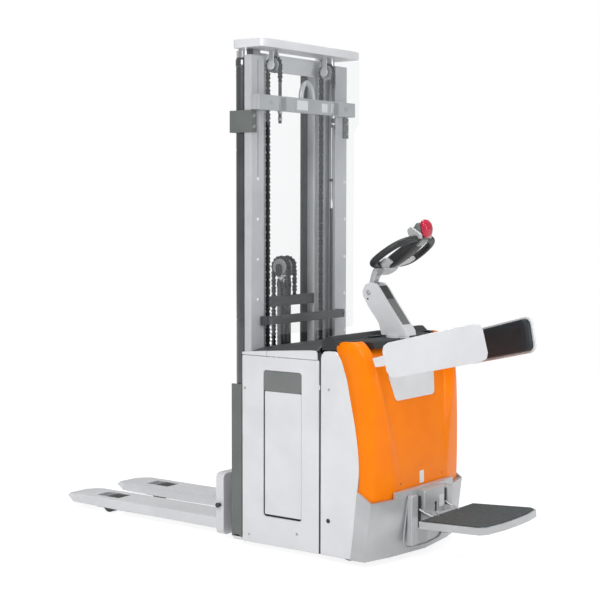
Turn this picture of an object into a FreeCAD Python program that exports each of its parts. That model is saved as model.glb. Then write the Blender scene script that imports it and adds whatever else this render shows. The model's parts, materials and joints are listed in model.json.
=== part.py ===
"""Ride-on pallet stacker with a three-stage mast, as separate jointed pieces.

Millimetres. +X runs from the forks to the operator's platform, +Y is the far side of the photograph,
+Z is up. The shapes are written with X = 0 at the seam between the battery cover and the drive hood,
and place() moves them so that the origin is under the middle of the whole truck, on the floor.
"""
import FreeCAD
import Part
import math
import os

V = FreeCAD.Vector

# driving sizes: the whole truck
HALF_WIDTH = 400.0
FORK_TIP_X = -1780.0
PLATFORM_REAR_X = 792.0
SHIFT_X = -(FORK_TIP_X + PLATFORM_REAR_X) / 2.0
GROUND_GAP = 29.0

# driving sizes: covers
COVER_FRONT_X = -448.0
LID_SEAM_Z = 910.0
LID_LOW_Z = 935.0
LID_RISE = 63.0
LID_FRONT_X = -300.0
HINGE_X = -18.0
HINGE_Z = 985.0
SKIRT_TOP_Z = 293.0
SKIRT_LEAN = 32.0
WALL = 12.0
INSIDE_Y = HALF_WIDTH - WALL
TRAY_Y = INSIDE_Y - 2.0
BAND_FRONT_Z = LID_SEAM_Z + 20.0
BAND_REAR_Z = LID_SEAM_Z + 35.0

# driving sizes: mast
MAST_TOP_Z = 2331.0
CROSSHEAD_H = 41.0
MAST_FOOT_Z = 60.0
COLUMN_TOP_Z = MAST_TOP_Z - 31.0
BARREL_TOP_Z = MAST_TOP_Z - 41.0
INNER_TOP_Z = MAST_TOP_Z - 9.0
SHEAVE_Z = MAST_TOP_Z - 69.0
CROSSBAR_LOW_Z = MAST_TOP_Z - 284.0
CROSSBAR_TOP_Z = CROSSBAR_LOW_Z + 70.0
CLAMP_LOW_Z = MAST_TOP_Z - 388.0
CLAMP_TOP_Z = CLAMP_LOW_Z + 102.0
SCREEN_STEP_Z = MAST_TOP_Z - 356.0
LOWER_BAR_Z = 1046.0
FREE_TOP_Z = MAST_TOP_Z - 1091.0
PULLEY_Z = FREE_TOP_Z + 66.0
LIFT_CYL_X = -477.0
LIFT_CYL_Y = 350.0
FREE_CYL_X = -502.0
CHAIN_Y = 215.0
CHAIN_FRONT_X = -436.0
CHAIN_REAR_X = -364.0
SCREEN_X = -330.0

# driving sizes: forks and wheels
FORK_TOP_Z = 86.0
FORK_HEEL_X = -582.0
FORK_INNER_Y = 100.0
FORK_OUTER_Y = 280.0
LOAD_WHEEL_X = -1480.0
LOAD_WHEEL_R = 42.5
DRIVE_X = 150.0
DRIVE_Y = 110.0
DRIVE_R = 115.0
CASTOR_X = 140.0
CASTOR_Y = -256.0
CASTOR_R = 70.0
CASTOR_TRAIL = 34.0

# driving sizes: controls, platform and guards
STEER_X = 160.0
TILT_X = 25.0
TILT_Z = 1201.0
HEAD_X = 95.0
HEAD_Z = 1322.0
HEAD_SLOPE = 35.0
PLATFORM_HINGE_X = 415.0
PLATFORM_HINGE_Z = 205.0
PLATFORM_SLOPE = 3.0
GUARD_X = 319.0
GUARD_Y = 350.0
GUARD_Z = 927.0
GUARD_LENGTH = 456.0
GUARD_RISE = 13.0
GUARD_TOE = 17.4

# clearances
RUN = 0.1
SEAT = 0.3

nodes = {}


def box(x0, x1, y0, y1, z0, z1):
    return Part.makeBox(x1 - x0, y1 - y0, z1 - z0, V(x0, y0, z0))


def rod(start, end, radius):
    run = V(*end) - V(*start)
    return Part.makeCylinder(radius, run.Length, V(*start), run)


def cross_rod(x, z, y0, y1, radius):
    """A round bar across the truck, from y0 to y1."""
    return rod((x, y0, z), (x, y1, z), radius)


def post(x, y, z0, z1, radius):
    """A round upright bar."""
    return rod((x, y, z0), (x, y, z1), radius)


def prism(points, direction):
    face = Part.Face(Part.makePolygon([V(*p) for p in points] + [V(*points[0])]))
    return face.extrude(V(*direction))


def plan(points, z0, z1):
    """A flat outline in X and Y, carried from z0 up to z1."""
    return prism([(x, y, z0) for x, y in points], (0, 0, z1 - z0))


def side(points, y0, y1):
    """A flat outline in X and Z, carried from y0 to y1."""
    return prism([(x, y0, z) for x, z in points], (0, y1 - y0, 0))


def front(points, x0, x1):
    """A flat outline in Y and Z, carried from x0 to x1."""
    return prism([(x0, y, z) for y, z in points], (x1 - x0, 0, 0))


def flats(u, v, radius, count):
    """A circle drawn with count flats, for rounds that turn in nothing."""
    ring = []
    for i in range(count):
        angle = 2.0 * math.pi * (i + 0.5) / count
        ring.append((u + radius * math.cos(angle), v + radius * math.sin(angle)))
    return ring


def disc(x, z, y0, y1, radius, count=20):
    """A many-sided bar across the truck."""
    return side(flats(x, z, radius, count), y0, y1)


def skin(levels):
    """A solid through outlines of equal point count, one at each height, in flat triangles between levels."""
    rings = [[V(x, y, z) for x, y in points] for z, points in levels]
    faces = []
    for lower, upper in zip(rings, rings[1:]):
        for i in range(len(lower)):
            k = (i + 1) % len(lower)
            for corners in ((lower[i], lower[k], upper[k]), (lower[i], upper[k], upper[i])):
                faces.append(Part.Face(Part.makePolygon(list(corners) + [corners[0]])))
    for ring in (rings[0], rings[-1]):
        faces.append(Part.Face(Part.makePolygon(ring + [ring[0]])))
    solid = Part.makeSolid(Part.makeShell(faces))
    if solid.Volume < 0:
        solid.reverse()
    return solid.removeSplitter()


def joined(shapes):
    whole = shapes[0]
    if len(shapes) > 1:
        whole = shapes[0].multiFuse(shapes[1:])
    return whole.removeSplitter()


def far(shape):
    return shape.mirror(V(0, 0, 0), V(0, 1, 0))


def both(shape):
    """A near-side shape with its far-side twin, as one node of two solids."""
    return shape.fuse(far(shape))


def place(name, shape):
    """Keep a node, moved to the shared frame."""
    moved = shape.copy()
    moved.translate(V(SHIFT_X, 0, 0))
    nodes[name] = moved


def rounded(outline, radius):
    """An outline's corners cut to short chords, as (u, v) points."""
    result = []
    count = len(outline)
    for i in range(count):
        before = V(*outline[i - 1], 0)
        here = V(*outline[i], 0)
        after = V(*outline[(i + 1) % count], 0)
        back = (before - here).normalize()
        ahead = (after - here).normalize()
        half = back.getAngle(ahead) / 2.0
        reach = radius / math.tan(half)
        reach = min(reach, 0.45 * (before - here).Length, 0.45 * (after - here).Length)
        first = here + back * reach
        last = here + ahead * reach
        middle = (first + last) * 0.5
        bulge = middle + (here - middle) * 0.41
        result += [(first.x, first.y), (bulge.x, bulge.y), (last.x, last.y)]
    return result


def widened(half_outline):
    """A plan outline's near half, from front to rear, closed with its mirrored far half."""
    return half_outline + [(x, -y) for x, y in reversed(half_outline) if y != 0]


def lid_top(x):
    """Height of the battery cover's sloping top at x."""
    return LID_LOW_Z + LID_RISE * (x + 400.0) / 400.0


# hood side wall: its curved rear edge is the seam to the orange cover
HOOD_EDGE = [
    (4, GROUND_GAP), (171, GROUND_GAP), (190, 180), (206, 341), (221, 396), (202, 572), (178, 703), (138, 869),
    (89, 958), (4, 950),
]


def leaning(points, z0, z1):
    """A plan outline given at the ground gap's height, carried up and rearwards as the skirt's rear face leans."""
    slope = SKIRT_LEAN / (SKIRT_TOP_Z - GROUND_GAP)
    start = slope * (z0 - GROUND_GAP)
    return prism([(x + start, y, z0) for x, y in points], (slope * (z1 - z0), 0, z1 - z0))


# chassis: skirt round the wheels, tray, bulkhead, rear wall of the battery space, platform bracket
skirt = leaning(widened([(-60, -HALF_WIDTH), (247, -HALF_WIDTH), (286, -248), (318, 0)]), GROUND_GAP, SKIRT_TOP_Z)
room = leaning(widened([(-60, -INSIDE_Y), (237, -INSIDE_Y), (274, -246), (306, 0)]), GROUND_GAP - 1, SKIRT_TOP_Z - 10)
skirt = skirt.cut(box(-100, 4, -HALF_WIDTH - 10, HALF_WIDTH + 10, 0, 400)).cut(room)
ramp = side([(185, 280), (279, 280), (279, SKIRT_TOP_Z), (206, 341), (196, 341)], -HALF_WIDTH, 12 - HALF_WIDTH)
bridge = plan([(299, -246), (318, -246), (350, 0), (318, 246), (299, 246)], SKIRT_TOP_Z, 324)
skirt = joined([skirt, ramp, far(ramp), bridge])
skirt = skirt.cut(front(rounded([(-184, 72), (184, 72), (184, 330), (-184, 330)], 14), 334, 400))
skirt = skirt.cut(post(DRIVE_X, DRIVE_Y, 270, 310, 72 + SEAT))
skirt = skirt.cut(post(CASTOR_X, CASTOR_Y, 270, 310, 20 + SEAT))
skirt = skirt.cut(side(HOOD_EDGE, -HALF_WIDTH - 10, -INSIDE_Y)).cut(side(HOOD_EDGE, INSIDE_Y, HALF_WIDTH + 10))
firewall = box(-12, 4, -TRAY_Y, TRAY_Y, 45, LID_SEAM_Z - 5)
knuckle = box(-16, 4, -225, -200, LID_SEAM_Z - 5, HINGE_Z + 9).cut(cross_rod(HINGE_X, HINGE_Z, -230, -195, 8 + RUN))
tray = joined([
    box(COVER_FRONT_X, 4, -TRAY_Y, TRAY_Y, GROUND_GAP, 45),
    box(-400, -384, -TRAY_Y, TRAY_Y, 45, 880),
    firewall,
    knuckle,
    far(knuckle),
])
lug = joined([
    box(358, PLATFORM_HINGE_X, -98, -84, 188, 222),
    disc(PLATFORM_HINGE_X, PLATFORM_HINGE_Z, -98, -84, 17, 16),
])
ear = box(330, 362, -98, -84, 150, 240)
bracket = joined([box(330, 362, -92, 92, 150, 318), ear, far(ear), lug, far(lug)])
bracket = bracket.cut(cross_rod(PLATFORM_HINGE_X, PLATFORM_HINGE_Z, -120, 120, 10 + RUN))
bracket = bracket.cut(room)
place("chassis", joined([skirt, tray, bracket]))
place("battery", box(-365, -30, 70 - HALF_WIDTH, HALF_WIDTH - 70, 45, 700))

# battery covers: side walls with a recessed door, and a fixed cap in front of the lid
cover = box(COVER_FRONT_X, -14, -HALF_WIDTH, WALL - HALF_WIDTH, GROUND_GAP, LID_SEAM_Z)
cover = cover.cut(side(rounded([(-320, 160), (-105, 160), (-105, 845), (-320, 845)], 12), -HALF_WIDTH - 1, 4 - HALF_WIDTH))
cover = cover.cut(side(rounded([(-320, 748), (-105, 748), (-105, 845), (-320, 845)], 12), -HALF_WIDTH - 1, 8 - HALF_WIDTH))
cap_end = LID_FRONT_X - 5
cap = side([
    (COVER_FRONT_X, LID_SEAM_Z), (cap_end, LID_SEAM_Z), (cap_end, lid_top(cap_end)), (-430, lid_top(-430)),
    (COVER_FRONT_X, 921),
], -HALF_WIDTH, HALF_WIDTH)
cap = cap.cut(box(-580, -396, -INSIDE_Y, INSIDE_Y, LID_SEAM_Z - 10, LID_SEAM_Z + 50))
cap = cap.cut(box(-397, cap_end - 10, -INSIDE_Y, INSIDE_Y, LID_SEAM_Z - 10, LID_SEAM_Z + 15))
place("battery_covers", joined([cover, far(cover), cap]))
lid = side([
    (LID_FRONT_X, LID_SEAM_Z + SEAT), (HINGE_X, LID_SEAM_Z + SEAT), (HINGE_X, BAND_REAR_Z), (LID_FRONT_X, BAND_FRONT_Z),
], -HALF_WIDTH, HALF_WIDTH)
lid = lid.cut(box(LID_FRONT_X + 10, HINGE_X - 10, 10 - HALF_WIDTH, HALF_WIDTH - 10, LID_SEAM_Z - 10, LID_SEAM_Z + 50))
notch = box(HINGE_X - 24, HINGE_X + 8, -232, -193, LID_SEAM_Z - 10, HINGE_Z + 25)
pin = cross_rod(HINGE_X, HINGE_Z, 40 - HALF_WIDTH, HALF_WIDTH - 40, 8)
lid = lid.cut(notch).cut(far(notch))
place("battery_lid", lid)
crown = side([
    (LID_FRONT_X, BAND_FRONT_Z), (HINGE_X, BAND_REAR_Z), (HINGE_X, lid_top(HINGE_X)), (LID_FRONT_X, lid_top(LID_FRONT_X)),
], 10 - HALF_WIDTH, HALF_WIDTH - 10)
crown = crown.cut(side([
    (LID_FRONT_X + 10, BAND_FRONT_Z - 5), (HINGE_X - 10, BAND_FRONT_Z - 5), (HINGE_X - 10, lid_top(HINGE_X) - 9),
    (LID_FRONT_X + 10, lid_top(LID_FRONT_X) - 7),
], 20 - HALF_WIDTH, HALF_WIDTH - 20))
crown = joined([crown.cut(notch).cut(far(notch)), pin])
place("lid_top", crown)

# drive hood: light side walls, front wall and shoulder
wall = side(HOOD_EDGE, -HALF_WIDTH, WALL - HALF_WIDTH)
shoulder = side([(4, 938), (80, 946), (80, 958), (4, 950)], -HALF_WIDTH, HALF_WIDTH)
shoulder = shoulder.cut(post(STEER_X, 0, 900, 1000, 62))
place("drive_hood", joined([wall, far(wall), box(4, 14, -INSIDE_Y, INSIDE_Y, SKIRT_TOP_Z, 940), shoulder]))

# orange cover: height, then x at the seam, the corner and the lobe's inner edge, that edge's y, x in the middle
COVER_LEVELS = [
    (SKIRT_TOP_Z, 206, 268, 296, 228, 296),
    (430, 215, 271, 295, 234, 291),
    (600, 197, 270, 290, 262, 272),
    (760, 163, 264, 284, 305, 250),
    (842, 146, 255, 275, 322, 231),
    (930, 106, 238, 250, 326, 204),
    (975, 88, 208, 212, 320, 178),
    (1001, 100, 168, 168, 312, 160),
]
LOBE_Y = HALF_WIDTH - 24.0


def cover_outline(level, inset):
    """The cover's outline at one level, drawn in by its wall where inset is given."""
    x_side, x_corner, x_lobe, y_lobe, x_mid = level[1:]
    half = [
        (x_side - (2 if inset else 0), inset - HALF_WIDTH + 1), (x_corner - inset, inset - LOBE_Y),
        (x_lobe - inset, inset - y_lobe), (x_mid - inset, inset + 34 - y_lobe),
    ]
    return widened(half)


outer = skin([(level[0], cover_outline(level, 0)) for level in COVER_LEVELS])
inner = skin([(level[0] - (WALL if i else 1), cover_outline(level, WALL)) for i, level in enumerate(COVER_LEVELS)])
dash_block = side([
    (6, 958), (92, 962), (190, 962), (222, 968), (212, 996), (84, 1000), (60, 1021), (36, 1021), (6, lid_top(0)),
], -INSIDE_Y, INSIDE_Y)
dash_wing = side([(100, 900), (300, 900), (300, 1100), (100, 1100)], -HALF_WIDTH, -286)
dash_block = dash_block.cut(dash_wing).cut(far(dash_wing))
cover = outer.cut(inner)
cover = cover.cut(box(-20, 215, 36 - HALF_WIDTH, HALF_WIDTH - 36, SKIRT_TOP_Z - 5, 940))
cover = cover.cut(side(HOOD_EDGE, -HALF_WIDTH - 10, 20 - HALF_WIDTH))
cover = cover.cut(side(HOOD_EDGE, HALF_WIDTH - 20, HALF_WIDTH + 10)).cut(dash_block)
cover = cover.cut(joined([ramp, far(ramp), bridge])).cut(shoulder).cut(post(STEER_X, 0, 900, 1010, 62))
place("dashboard", dash_block.cut(shoulder).cut(post(STEER_X, 0, 950, 1060, 55 + SEAT)))

# operator's platform, folding up about a cross pin
hinge = V(PLATFORM_HINGE_X, 0, PLATFORM_HINGE_Z)
REAR = PLATFORM_REAR_X
deck_plan = widened([(429, -238), (REAR - 52, -254), (REAR - 24, -226), (REAR - 6, -120), (REAR - 1, 0)])
mat_plan = [(x if x < 450 else x - 8, y * 0.965) for x, y in deck_plan]
slot_cut = box(420, 452, -104, -78, 170, 220)
deck = plan(deck_plan, 176, 208).cut(slot_cut).cut(far(slot_cut))
mat = plan(mat_plan, 208, 213).cut(box(400, 437, -300, 300, 200, 220)).cut(slot_cut).cut(far(slot_cut))
arm = joined([box(405, 440, -76, -50, 188, 207), disc(PLATFORM_HINGE_X, PLATFORM_HINGE_Z, -76, -50, 19, 16)])
frame = joined([deck, arm, far(arm), cross_rod(PLATFORM_HINGE_X, PLATFORM_HINGE_Z, -106, 106, 10)])
for name, shape in (("platform", frame), ("platform_mat", mat.cut(frame))):
    turned = shape.copy()
    turned.rotate(hinge, V(0, 1, 0), -PLATFORM_SLOPE)
    place(name, turned)

# side guards: a plate with a pad inside, on a pin across the arm
arm_profile = rounded([(0, -80), (GUARD_LENGTH, -84), (GUARD_LENGTH, 84), (0, 76)], 34)
pad_profile = rounded([
    (86, -66), (GUARD_LENGTH - 12, -68), (GUARD_LENGTH - 12, 68), (86, 62),
], 30)


def guard_frame(shape):
    """From the guard's own frame, where x runs along the arm and z up, to the near side of the truck."""
    turned = shape.copy()
    turned.rotate(V(0, 0, 0), V(0, 1, 0), -GUARD_RISE)
    turned.rotate(V(0, 0, 0), V(0, 0, 1), GUARD_TOE)
    turned.translate(V(GUARD_X, -GUARD_Y, GUARD_Z))
    return turned


plate = guard_frame(joined([side(arm_profile, -16, -4), rod((22, -4, 0), (22, 44, 0), 16)]))
pad = guard_frame(side(pad_profile, -4, 24))
guard_arm = side([(22, -24), (22, 24), (-112, 18), (-112, -18)], 30, 82)
boss = joined([disc(22, 0, 26, 84, 26), guard_arm]).cut(rod((22, 20, 0), (22, 60, 0), 16 + RUN))
boss = guard_frame(boss).cut(inner)
boss = max(boss.Solids, key=lambda solid: solid.Volume)
place("guard_plate_near", plate)
place("guard_plate_far", far(plate))
place("guard_pad_near", pad)
place("guard_pad_far", far(pad))
place("guard_bosses", both(boss))
cover = cover.cut(boss).cut(far(boss))
place("motor_cover", max(cover.Solids, key=lambda solid: solid.Volume))

# tiller: turning foot with a leaning arm, then a neck and a head with two loops and a button
foot = joined([
    post(STEER_X, 0, 940, 1010, 55),
    side([
        (98, 1008), (232, 1008), (229, 1030), (207, 1058), (140, 1146), (84, 1223), (62, 1244), (30, 1249), (5, 1237),
        (-9, 1207), (-6, 1186), (22, 1139), (66, 1084), (84, 1058),
    ], -44, 44),
])
slot = [(-68, -48), (10, -48), (76, 4), (132, 28), (132, 92), (-68, 92)]
foot = foot.cut(side([(TILT_X + x, TILT_Z + z) for x, z in slot], -26, 26))
foot = foot.cut(cross_rod(TILT_X, TILT_Z, -60, 60, 12 + RUN))
place("tiller_foot", foot)


def head_frame(shape):
    """From the head's own frame, where x runs up the head's slope, to its place above the neck."""
    turned = shape.copy()
    turned.rotate(V(0, 0, 0), V(0, 1, 0), -HEAD_SLOPE)
    turned.translate(V(HEAD_X, 0, HEAD_Z))
    return turned


neck = joined([
    disc(TILT_X, TILT_Z, -21, 21, 30, 16),
    side([(-3, 1206), (48, 1182), (40, 1249), (54, 1276), (92, 1306), (120, 1322), (100, 1350), (36, 1322), (22, 1290), (-13, 1240)], -21, 21),
    cross_rod(TILT_X, TILT_Z, -43, 43, 12),
])
yoke = head_frame(plan(widened([(-10, -30), (18, -62), (44, -124), (88, -124), (84, -58)]), -34, -13))
head = joined([neck, yoke])
loop_outer = widened([(10, -30), (24, -146), (44, -176), (110, -184), (172, -174), (212, -140), (236, -96), (244, -44)])
loop_inner = rounded([(74, -72), (80, -142), (116, -150), (168, -140), (196, -112), (208, -70)], 10)
loops = plan(loop_outer, -13, 17)
loops = loops.cut(plan(loop_inner, -20, 20)).cut(plan([(u, -v) for u, v in loop_inner], -20, 20))
core = side([(90, -13), (96, -36), (150, -40), (206, -26), (206, 17), (90, 17)], -52, 52)
stalk = side([(204, -26), (248, -16), (280, 58), (258, 64), (218, 44), (196, 16)], -30, 30)
loops = joined([loops, core, stalk])
place("tiller_head", head)
place("tiller_loops", head_frame(loops).cut(head))
cap_ring = [(248, -16), (272, -10), (295, 14), (305, 42), (300, 62), (280, 58)]
place("tiller_button", head_frame(side(cap_ring, -32, 32)))

# fixed mast stage
column = joined([
    box(-412, -400, -388, -290, MAST_FOOT_Z, COLUMN_TOP_Z),
    box(-440, -412, -388, -376, MAST_FOOT_Z, COLUMN_TOP_Z),
    box(-440, -412, -302, -290, MAST_FOOT_Z, COLUMN_TOP_Z),
])
place("outer_columns", both(column))
eye_foot = CROSSBAR_TOP_Z
eye = front([
    (-42, eye_foot), (42, eye_foot), (36, eye_foot + 53), (22, eye_foot + 84), (0, eye_foot + 96), (-22, eye_foot + 84),
    (-36, eye_foot + 53),
], -372, -358)
eye = eye.cut(rod((-380, 0, eye_foot + 50), (-350, 0, eye_foot + 50), 20))
anchor_rod = plan(flats(CHAIN_REAR_X, -CHAIN_Y, 8, 10), CROSSBAR_LOW_Z - 57, SHEAVE_Z - 82)
bar_end = box(-400, -375, -392, -300, CROSSBAR_LOW_Z, CROSSBAR_TOP_Z)
place("crossbar_upper", joined([
    box(-375, -351, -392, 392, CROSSBAR_LOW_Z, CROSSBAR_TOP_Z), bar_end, far(bar_end), eye, anchor_rod, far(anchor_rod),
]))
low_end = box(-400, -375, -320, -292, LOWER_BAR_Z, LOWER_BAR_Z + 41)
place("crossbar_lower", joined([
    box(-375, -361, -320, 320, LOWER_BAR_Z, LOWER_BAR_Z + 41), low_end, far(low_end),
]))
barrel = post(LIFT_CYL_X, -LIFT_CYL_Y, MAST_FOOT_Z, BARREL_TOP_Z, 33)
barrel = barrel.cut(post(LIFT_CYL_X, -LIFT_CYL_Y, MAST_FOOT_Z, BARREL_TOP_Z, 22.5))
place("lift_barrels", both(barrel))
clamp = joined([
    box(-522, -400, -396, -388, CLAMP_LOW_Z, CLAMP_TOP_Z),
    box(-522, -514, -388, -340, CLAMP_LOW_Z, CLAMP_TOP_Z),
    box(-514, -440, -388, -370, CLAMP_LOW_Z, CLAMP_TOP_Z),
    box(-400, -394, -396, -352, CLAMP_LOW_Z, CLAMP_TOP_Z),
]).cut(post(LIFT_CYL_X, -LIFT_CYL_Y, MAST_FOOT_Z, BARREL_TOP_Z, 33 + RUN / 2))
foot_plate = joined([
    box(-510, -450, -399, -389, MAST_FOOT_Z, 770),
    box(-510, -400, -386, -310, 45, MAST_FOOT_Z),
    box(-510, -450, -399, -386, 45, MAST_FOOT_Z),
])
place("mast_brackets", clamp.fuse([far(clamp), foot_plate, far(foot_plate)]))
screen = front([
    (-345, 1000), (345, 1000), (345, SCREEN_STEP_Z), (392, SCREEN_STEP_Z + 40), (392, INNER_TOP_Z),
    (-392, INNER_TOP_Z), (-392, SCREEN_STEP_Z + 40), (-345, SCREEN_STEP_Z),
], SCREEN_X, SCREEN_X + 4)
stays = []
for sign in (-1, 1):
    for x, z in ((-351, CROSSBAR_LOW_Z + 35), (-361, LOWER_BAR_Z + 20)):
        stays.append(front(flats(sign * 305, z, 10, 8), x, SCREEN_X + 4))
place("mast_screen", joined([screen] + stays))

# support legs and their load wheels
leg = joined([
    box(-1400, COVER_FRONT_X, -255, -125, 26, 64),
    box(-1540, -1400, -255, -241, 26, 64),
    box(-1540, -1400, -139, -125, 26, 64),
    box(-1556, -1540, -255, -125, 30, 60),
])
leg = leg.cut(cross_rod(LOAD_WHEEL_X, LOAD_WHEEL_R, -262, -118, 10 + RUN))
place("support_legs", both(leg))
wheel = joined([
    disc(LOAD_WHEEL_X, LOAD_WHEEL_R, -233, -147, LOAD_WHEEL_R / math.cos(math.pi / 36), 36),
    cross_rod(LOAD_WHEEL_X, LOAD_WHEEL_R, -255, -125, 10),
])
place("load_wheel_near", wheel)
place("load_wheel_far", far(wheel))

# moving stage: rails with guide shoes, a notched crosshead, sheaves, rods and chains
rail = joined([
    box(-548, -448, -312, -300, 70, MAST_TOP_Z),
    box(-548, -536, -300, -256, 70, MAST_TOP_Z),
    box(-460, -448, -300, -256, 70, MAST_TOP_Z),
    box(-434, -412 - SEAT, -345, -307, 80, 200),
    box(-448, -418, -312, -307, 80, 200),
])
place("middle_rails", both(rail))
place("crosshead", plan([
    (-330, -392), (-338, -399), (-490, -399), (-505, -386), (-505, -256), (-452, -256), (-452, 256), (-505, 256),
    (-505, 386), (-490, 399), (-338, 399), (-330, 392), (-321, 340), (-321, -340),
], MAST_TOP_Z, MAST_TOP_Z + CROSSHEAD_H))
place("lift_rods", both(post(LIFT_CYL_X, -LIFT_CYL_Y, 700, MAST_TOP_Z, 22)))
SHEAVE_X = (CHAIN_FRONT_X + CHAIN_REAR_X) / 2.0
SHEAVE_R = (CHAIN_REAR_X - CHAIN_FRONT_X) / 2.0
sheave = joined([
    disc(SHEAVE_X, SHEAVE_Z, -CHAIN_Y - 12, -CHAIN_Y + 12, SHEAVE_R - 8),
    disc(SHEAVE_X, SHEAVE_Z, -CHAIN_Y - 26, -CHAIN_Y + 26, 12, 10),
    box(SHEAVE_X - 18, SHEAVE_X + 18, -CHAIN_Y - 24, -CHAIN_Y - 16, SHEAVE_Z - 14, MAST_TOP_Z),
    box(SHEAVE_X - 18, SHEAVE_X + 18, -CHAIN_Y + 16, -CHAIN_Y + 24, SHEAVE_Z - 14, MAST_TOP_Z),
])
place("chain_sheaves", both(sheave))
bend = disc(SHEAVE_X, SHEAVE_Z, -CHAIN_Y - 10, -CHAIN_Y + 10, SHEAVE_R + 7)
bend = bend.cut(disc(SHEAVE_X, SHEAVE_Z, -CHAIN_Y - 10, -CHAIN_Y + 10, SHEAVE_R - 7))
bend = bend.common(box(-500, -300, -300, -100, SHEAVE_Z, MAST_TOP_Z))
chain = joined([
    box(CHAIN_FRONT_X - 7, CHAIN_FRONT_X + 7, -CHAIN_Y - 10, -CHAIN_Y + 10, 150, SHEAVE_Z),
    box(CHAIN_REAR_X - 7, CHAIN_REAR_X + 7, -CHAIN_Y - 10, -CHAIN_Y + 10, SHEAVE_Z - 76, SHEAVE_Z),
    bend,
])
place("lift_chains", both(chain))

# inner stage: rails, ties and the free-lift cylinder with its twin pulleys
inner_rail = joined([
    box(-548, -460, -250, -240, 70, INNER_TOP_Z),
    box(-548, -538, -240, -194, 70, INNER_TOP_Z),
    box(-470, -460, -240, -194, 70, INNER_TOP_Z),
    disc(-498, 190, -292, -250, 38 - SEAT),
    disc(-498, 700, -292, -250, 38 - SEAT),
    box(-460, -428, -CHAIN_Y - 14, -CHAIN_Y + 14, 100, 150),
])
place("inner_rails", both(inner_rail))
ties = joined([
    box(-470, -460, -194, 194, 90, 170),
    box(-538, -470, -60, 60, 90, 106),
]).fuse([
    box(-470, -460, -194, 194, INNER_TOP_Z - 82, INNER_TOP_Z),
    box(-470, -460, -194, 194, 1120, 1170),
])
place("inner_ties", ties.cut(post(FREE_CYL_X, 0, 106, FREE_TOP_Z, 34 + RUN / 2)))
free_barrel = post(FREE_CYL_X, 0, 106, FREE_TOP_Z, 34).cut(post(FREE_CYL_X, 0, 106, FREE_TOP_Z, 25))
place("free_lift_barrel", free_barrel)
place("free_lift_rod", joined([
    post(FREE_CYL_X, 0, 420, FREE_TOP_Z + 12, 24.5),
    box(-520, -484, -30, 30, FREE_TOP_Z + 8, FREE_TOP_Z + 18),
    box(-520, -484, -6, 6, FREE_TOP_Z + 18, PULLEY_Z + 14),
    disc(FREE_CYL_X, PULLEY_Z, -44, 44, 12, 12),
]))
pulley = disc(FREE_CYL_X, PULLEY_Z, 9, 39, 40, 24).cut(disc(FREE_CYL_X, PULLEY_Z, 0, 50, 12, 12))
place("free_lift_pulleys", both(pulley))

# fork carriage and forks
heel = front(rounded([(-372, 30), (372, 30), (372, 330), (-372, 330)], 24), -630, FORK_HEEL_X)
leg_gap = box(-700, -500, -265, -115, 0, 76)
heel = heel.cut(leg_gap).cut(far(leg_gap))
cheek = joined([
    box(FORK_HEEL_X, -476, -184, -160, 100, 520),
    disc(-504, 150, -232, -196, 34 - SEAT),
    disc(-504, 470, -232, -196, 34 - SEAT),
    disc(-504, 150, -196, -184, 14, 10),
    disc(-504, 470, -196, -184, 14, 10),
])
place("fork_carriage", joined([heel, cheek, far(cheek)]))
TIP = FORK_TIP_X
fork = side([
    (-630, FORK_TOP_Z), (TIP + 140, FORK_TOP_Z), (TIP + 40, FORK_TOP_Z - 10), (TIP, 58), (TIP, 52), (TIP + 80, 36),
    (-630, 30),
], -FORK_OUTER_Y, -FORK_INNER_Y)
fork = fork.cut(side([
    (-600, FORK_TOP_Z - 8), (TIP + 144, FORK_TOP_Z - 8), (TIP + 90, FORK_TOP_Z - 16), (TIP + 90, 20), (-600, 20),
], 8 - FORK_OUTER_Y, -8 - FORK_INNER_Y))
point = plan([
    (TIP - 20, -300), (TIP + 90, -300), (TIP + 90, -1 - FORK_OUTER_Y), (TIP, 48 - FORK_OUTER_Y), (TIP - 20, 48 - FORK_OUTER_Y),
], 0, 100)
back_point = plan([
    (TIP - 20, -80), (TIP + 90, -80), (TIP + 90, 1 - FORK_INNER_Y), (TIP, -48 - FORK_INNER_Y), (TIP - 20, -48 - FORK_INNER_Y),
], 0, 100)
fork = fork.cut(point).cut(back_point).cut(box(-1560, -1400, -242, -138, 60, 100))
place("fork_near", fork)
place("fork_far", far(fork))

# drive unit under the hood, and a swivelling castor with twin wheels
drive = joined([
    plan(flats(DRIVE_X, DRIVE_Y, 110, 24), 262, 276),
    post(DRIVE_X, DRIVE_Y, 276, 520, 72),
    box(DRIVE_X - 60, DRIVE_X + 60, DRIVE_Y + 42, DRIVE_Y + 86, 80, 262),
    cross_rod(DRIVE_X, DRIVE_R, DRIVE_Y + 5, DRIVE_Y + 42, 24),
])
place("drive_unit", drive)
tread = cross_rod(DRIVE_X, DRIVE_R, DRIVE_Y - 37, DRIVE_Y + 37, DRIVE_R)
place("drive_wheel", tread.cut(cross_rod(DRIVE_X, DRIVE_R, DRIVE_Y + 5, DRIVE_Y + 60, 24 + RUN)))
axle_x = CASTOR_X - CASTOR_TRAIL
place("castor_fork", joined([
    plan(flats(CASTOR_X, CASTOR_Y, 60, 16), 240, 276),
    post(CASTOR_X, CASTOR_Y, 276, 316, 20),
    side([(CASTOR_X - 50, 240), (CASTOR_X + 50, 240), (axle_x + 24, 50), (axle_x - 24, 50)], CASTOR_Y - 9, CASTOR_Y + 9),
    cross_rod(axle_x, CASTOR_R, CASTOR_Y - 64, CASTOR_Y + 64, 12),
]))
rims = []
for low, high in ((-62, -14), (14, 62)):
    rim = disc(axle_x, CASTOR_R, CASTOR_Y + low, CASTOR_Y + high, CASTOR_R / math.cos(math.pi / 36), 36)
    rims.append(rim.cut(cross_rod(axle_x, CASTOR_R, CASTOR_Y - 80, CASTOR_Y + 80, 12 + RUN)))
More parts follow.
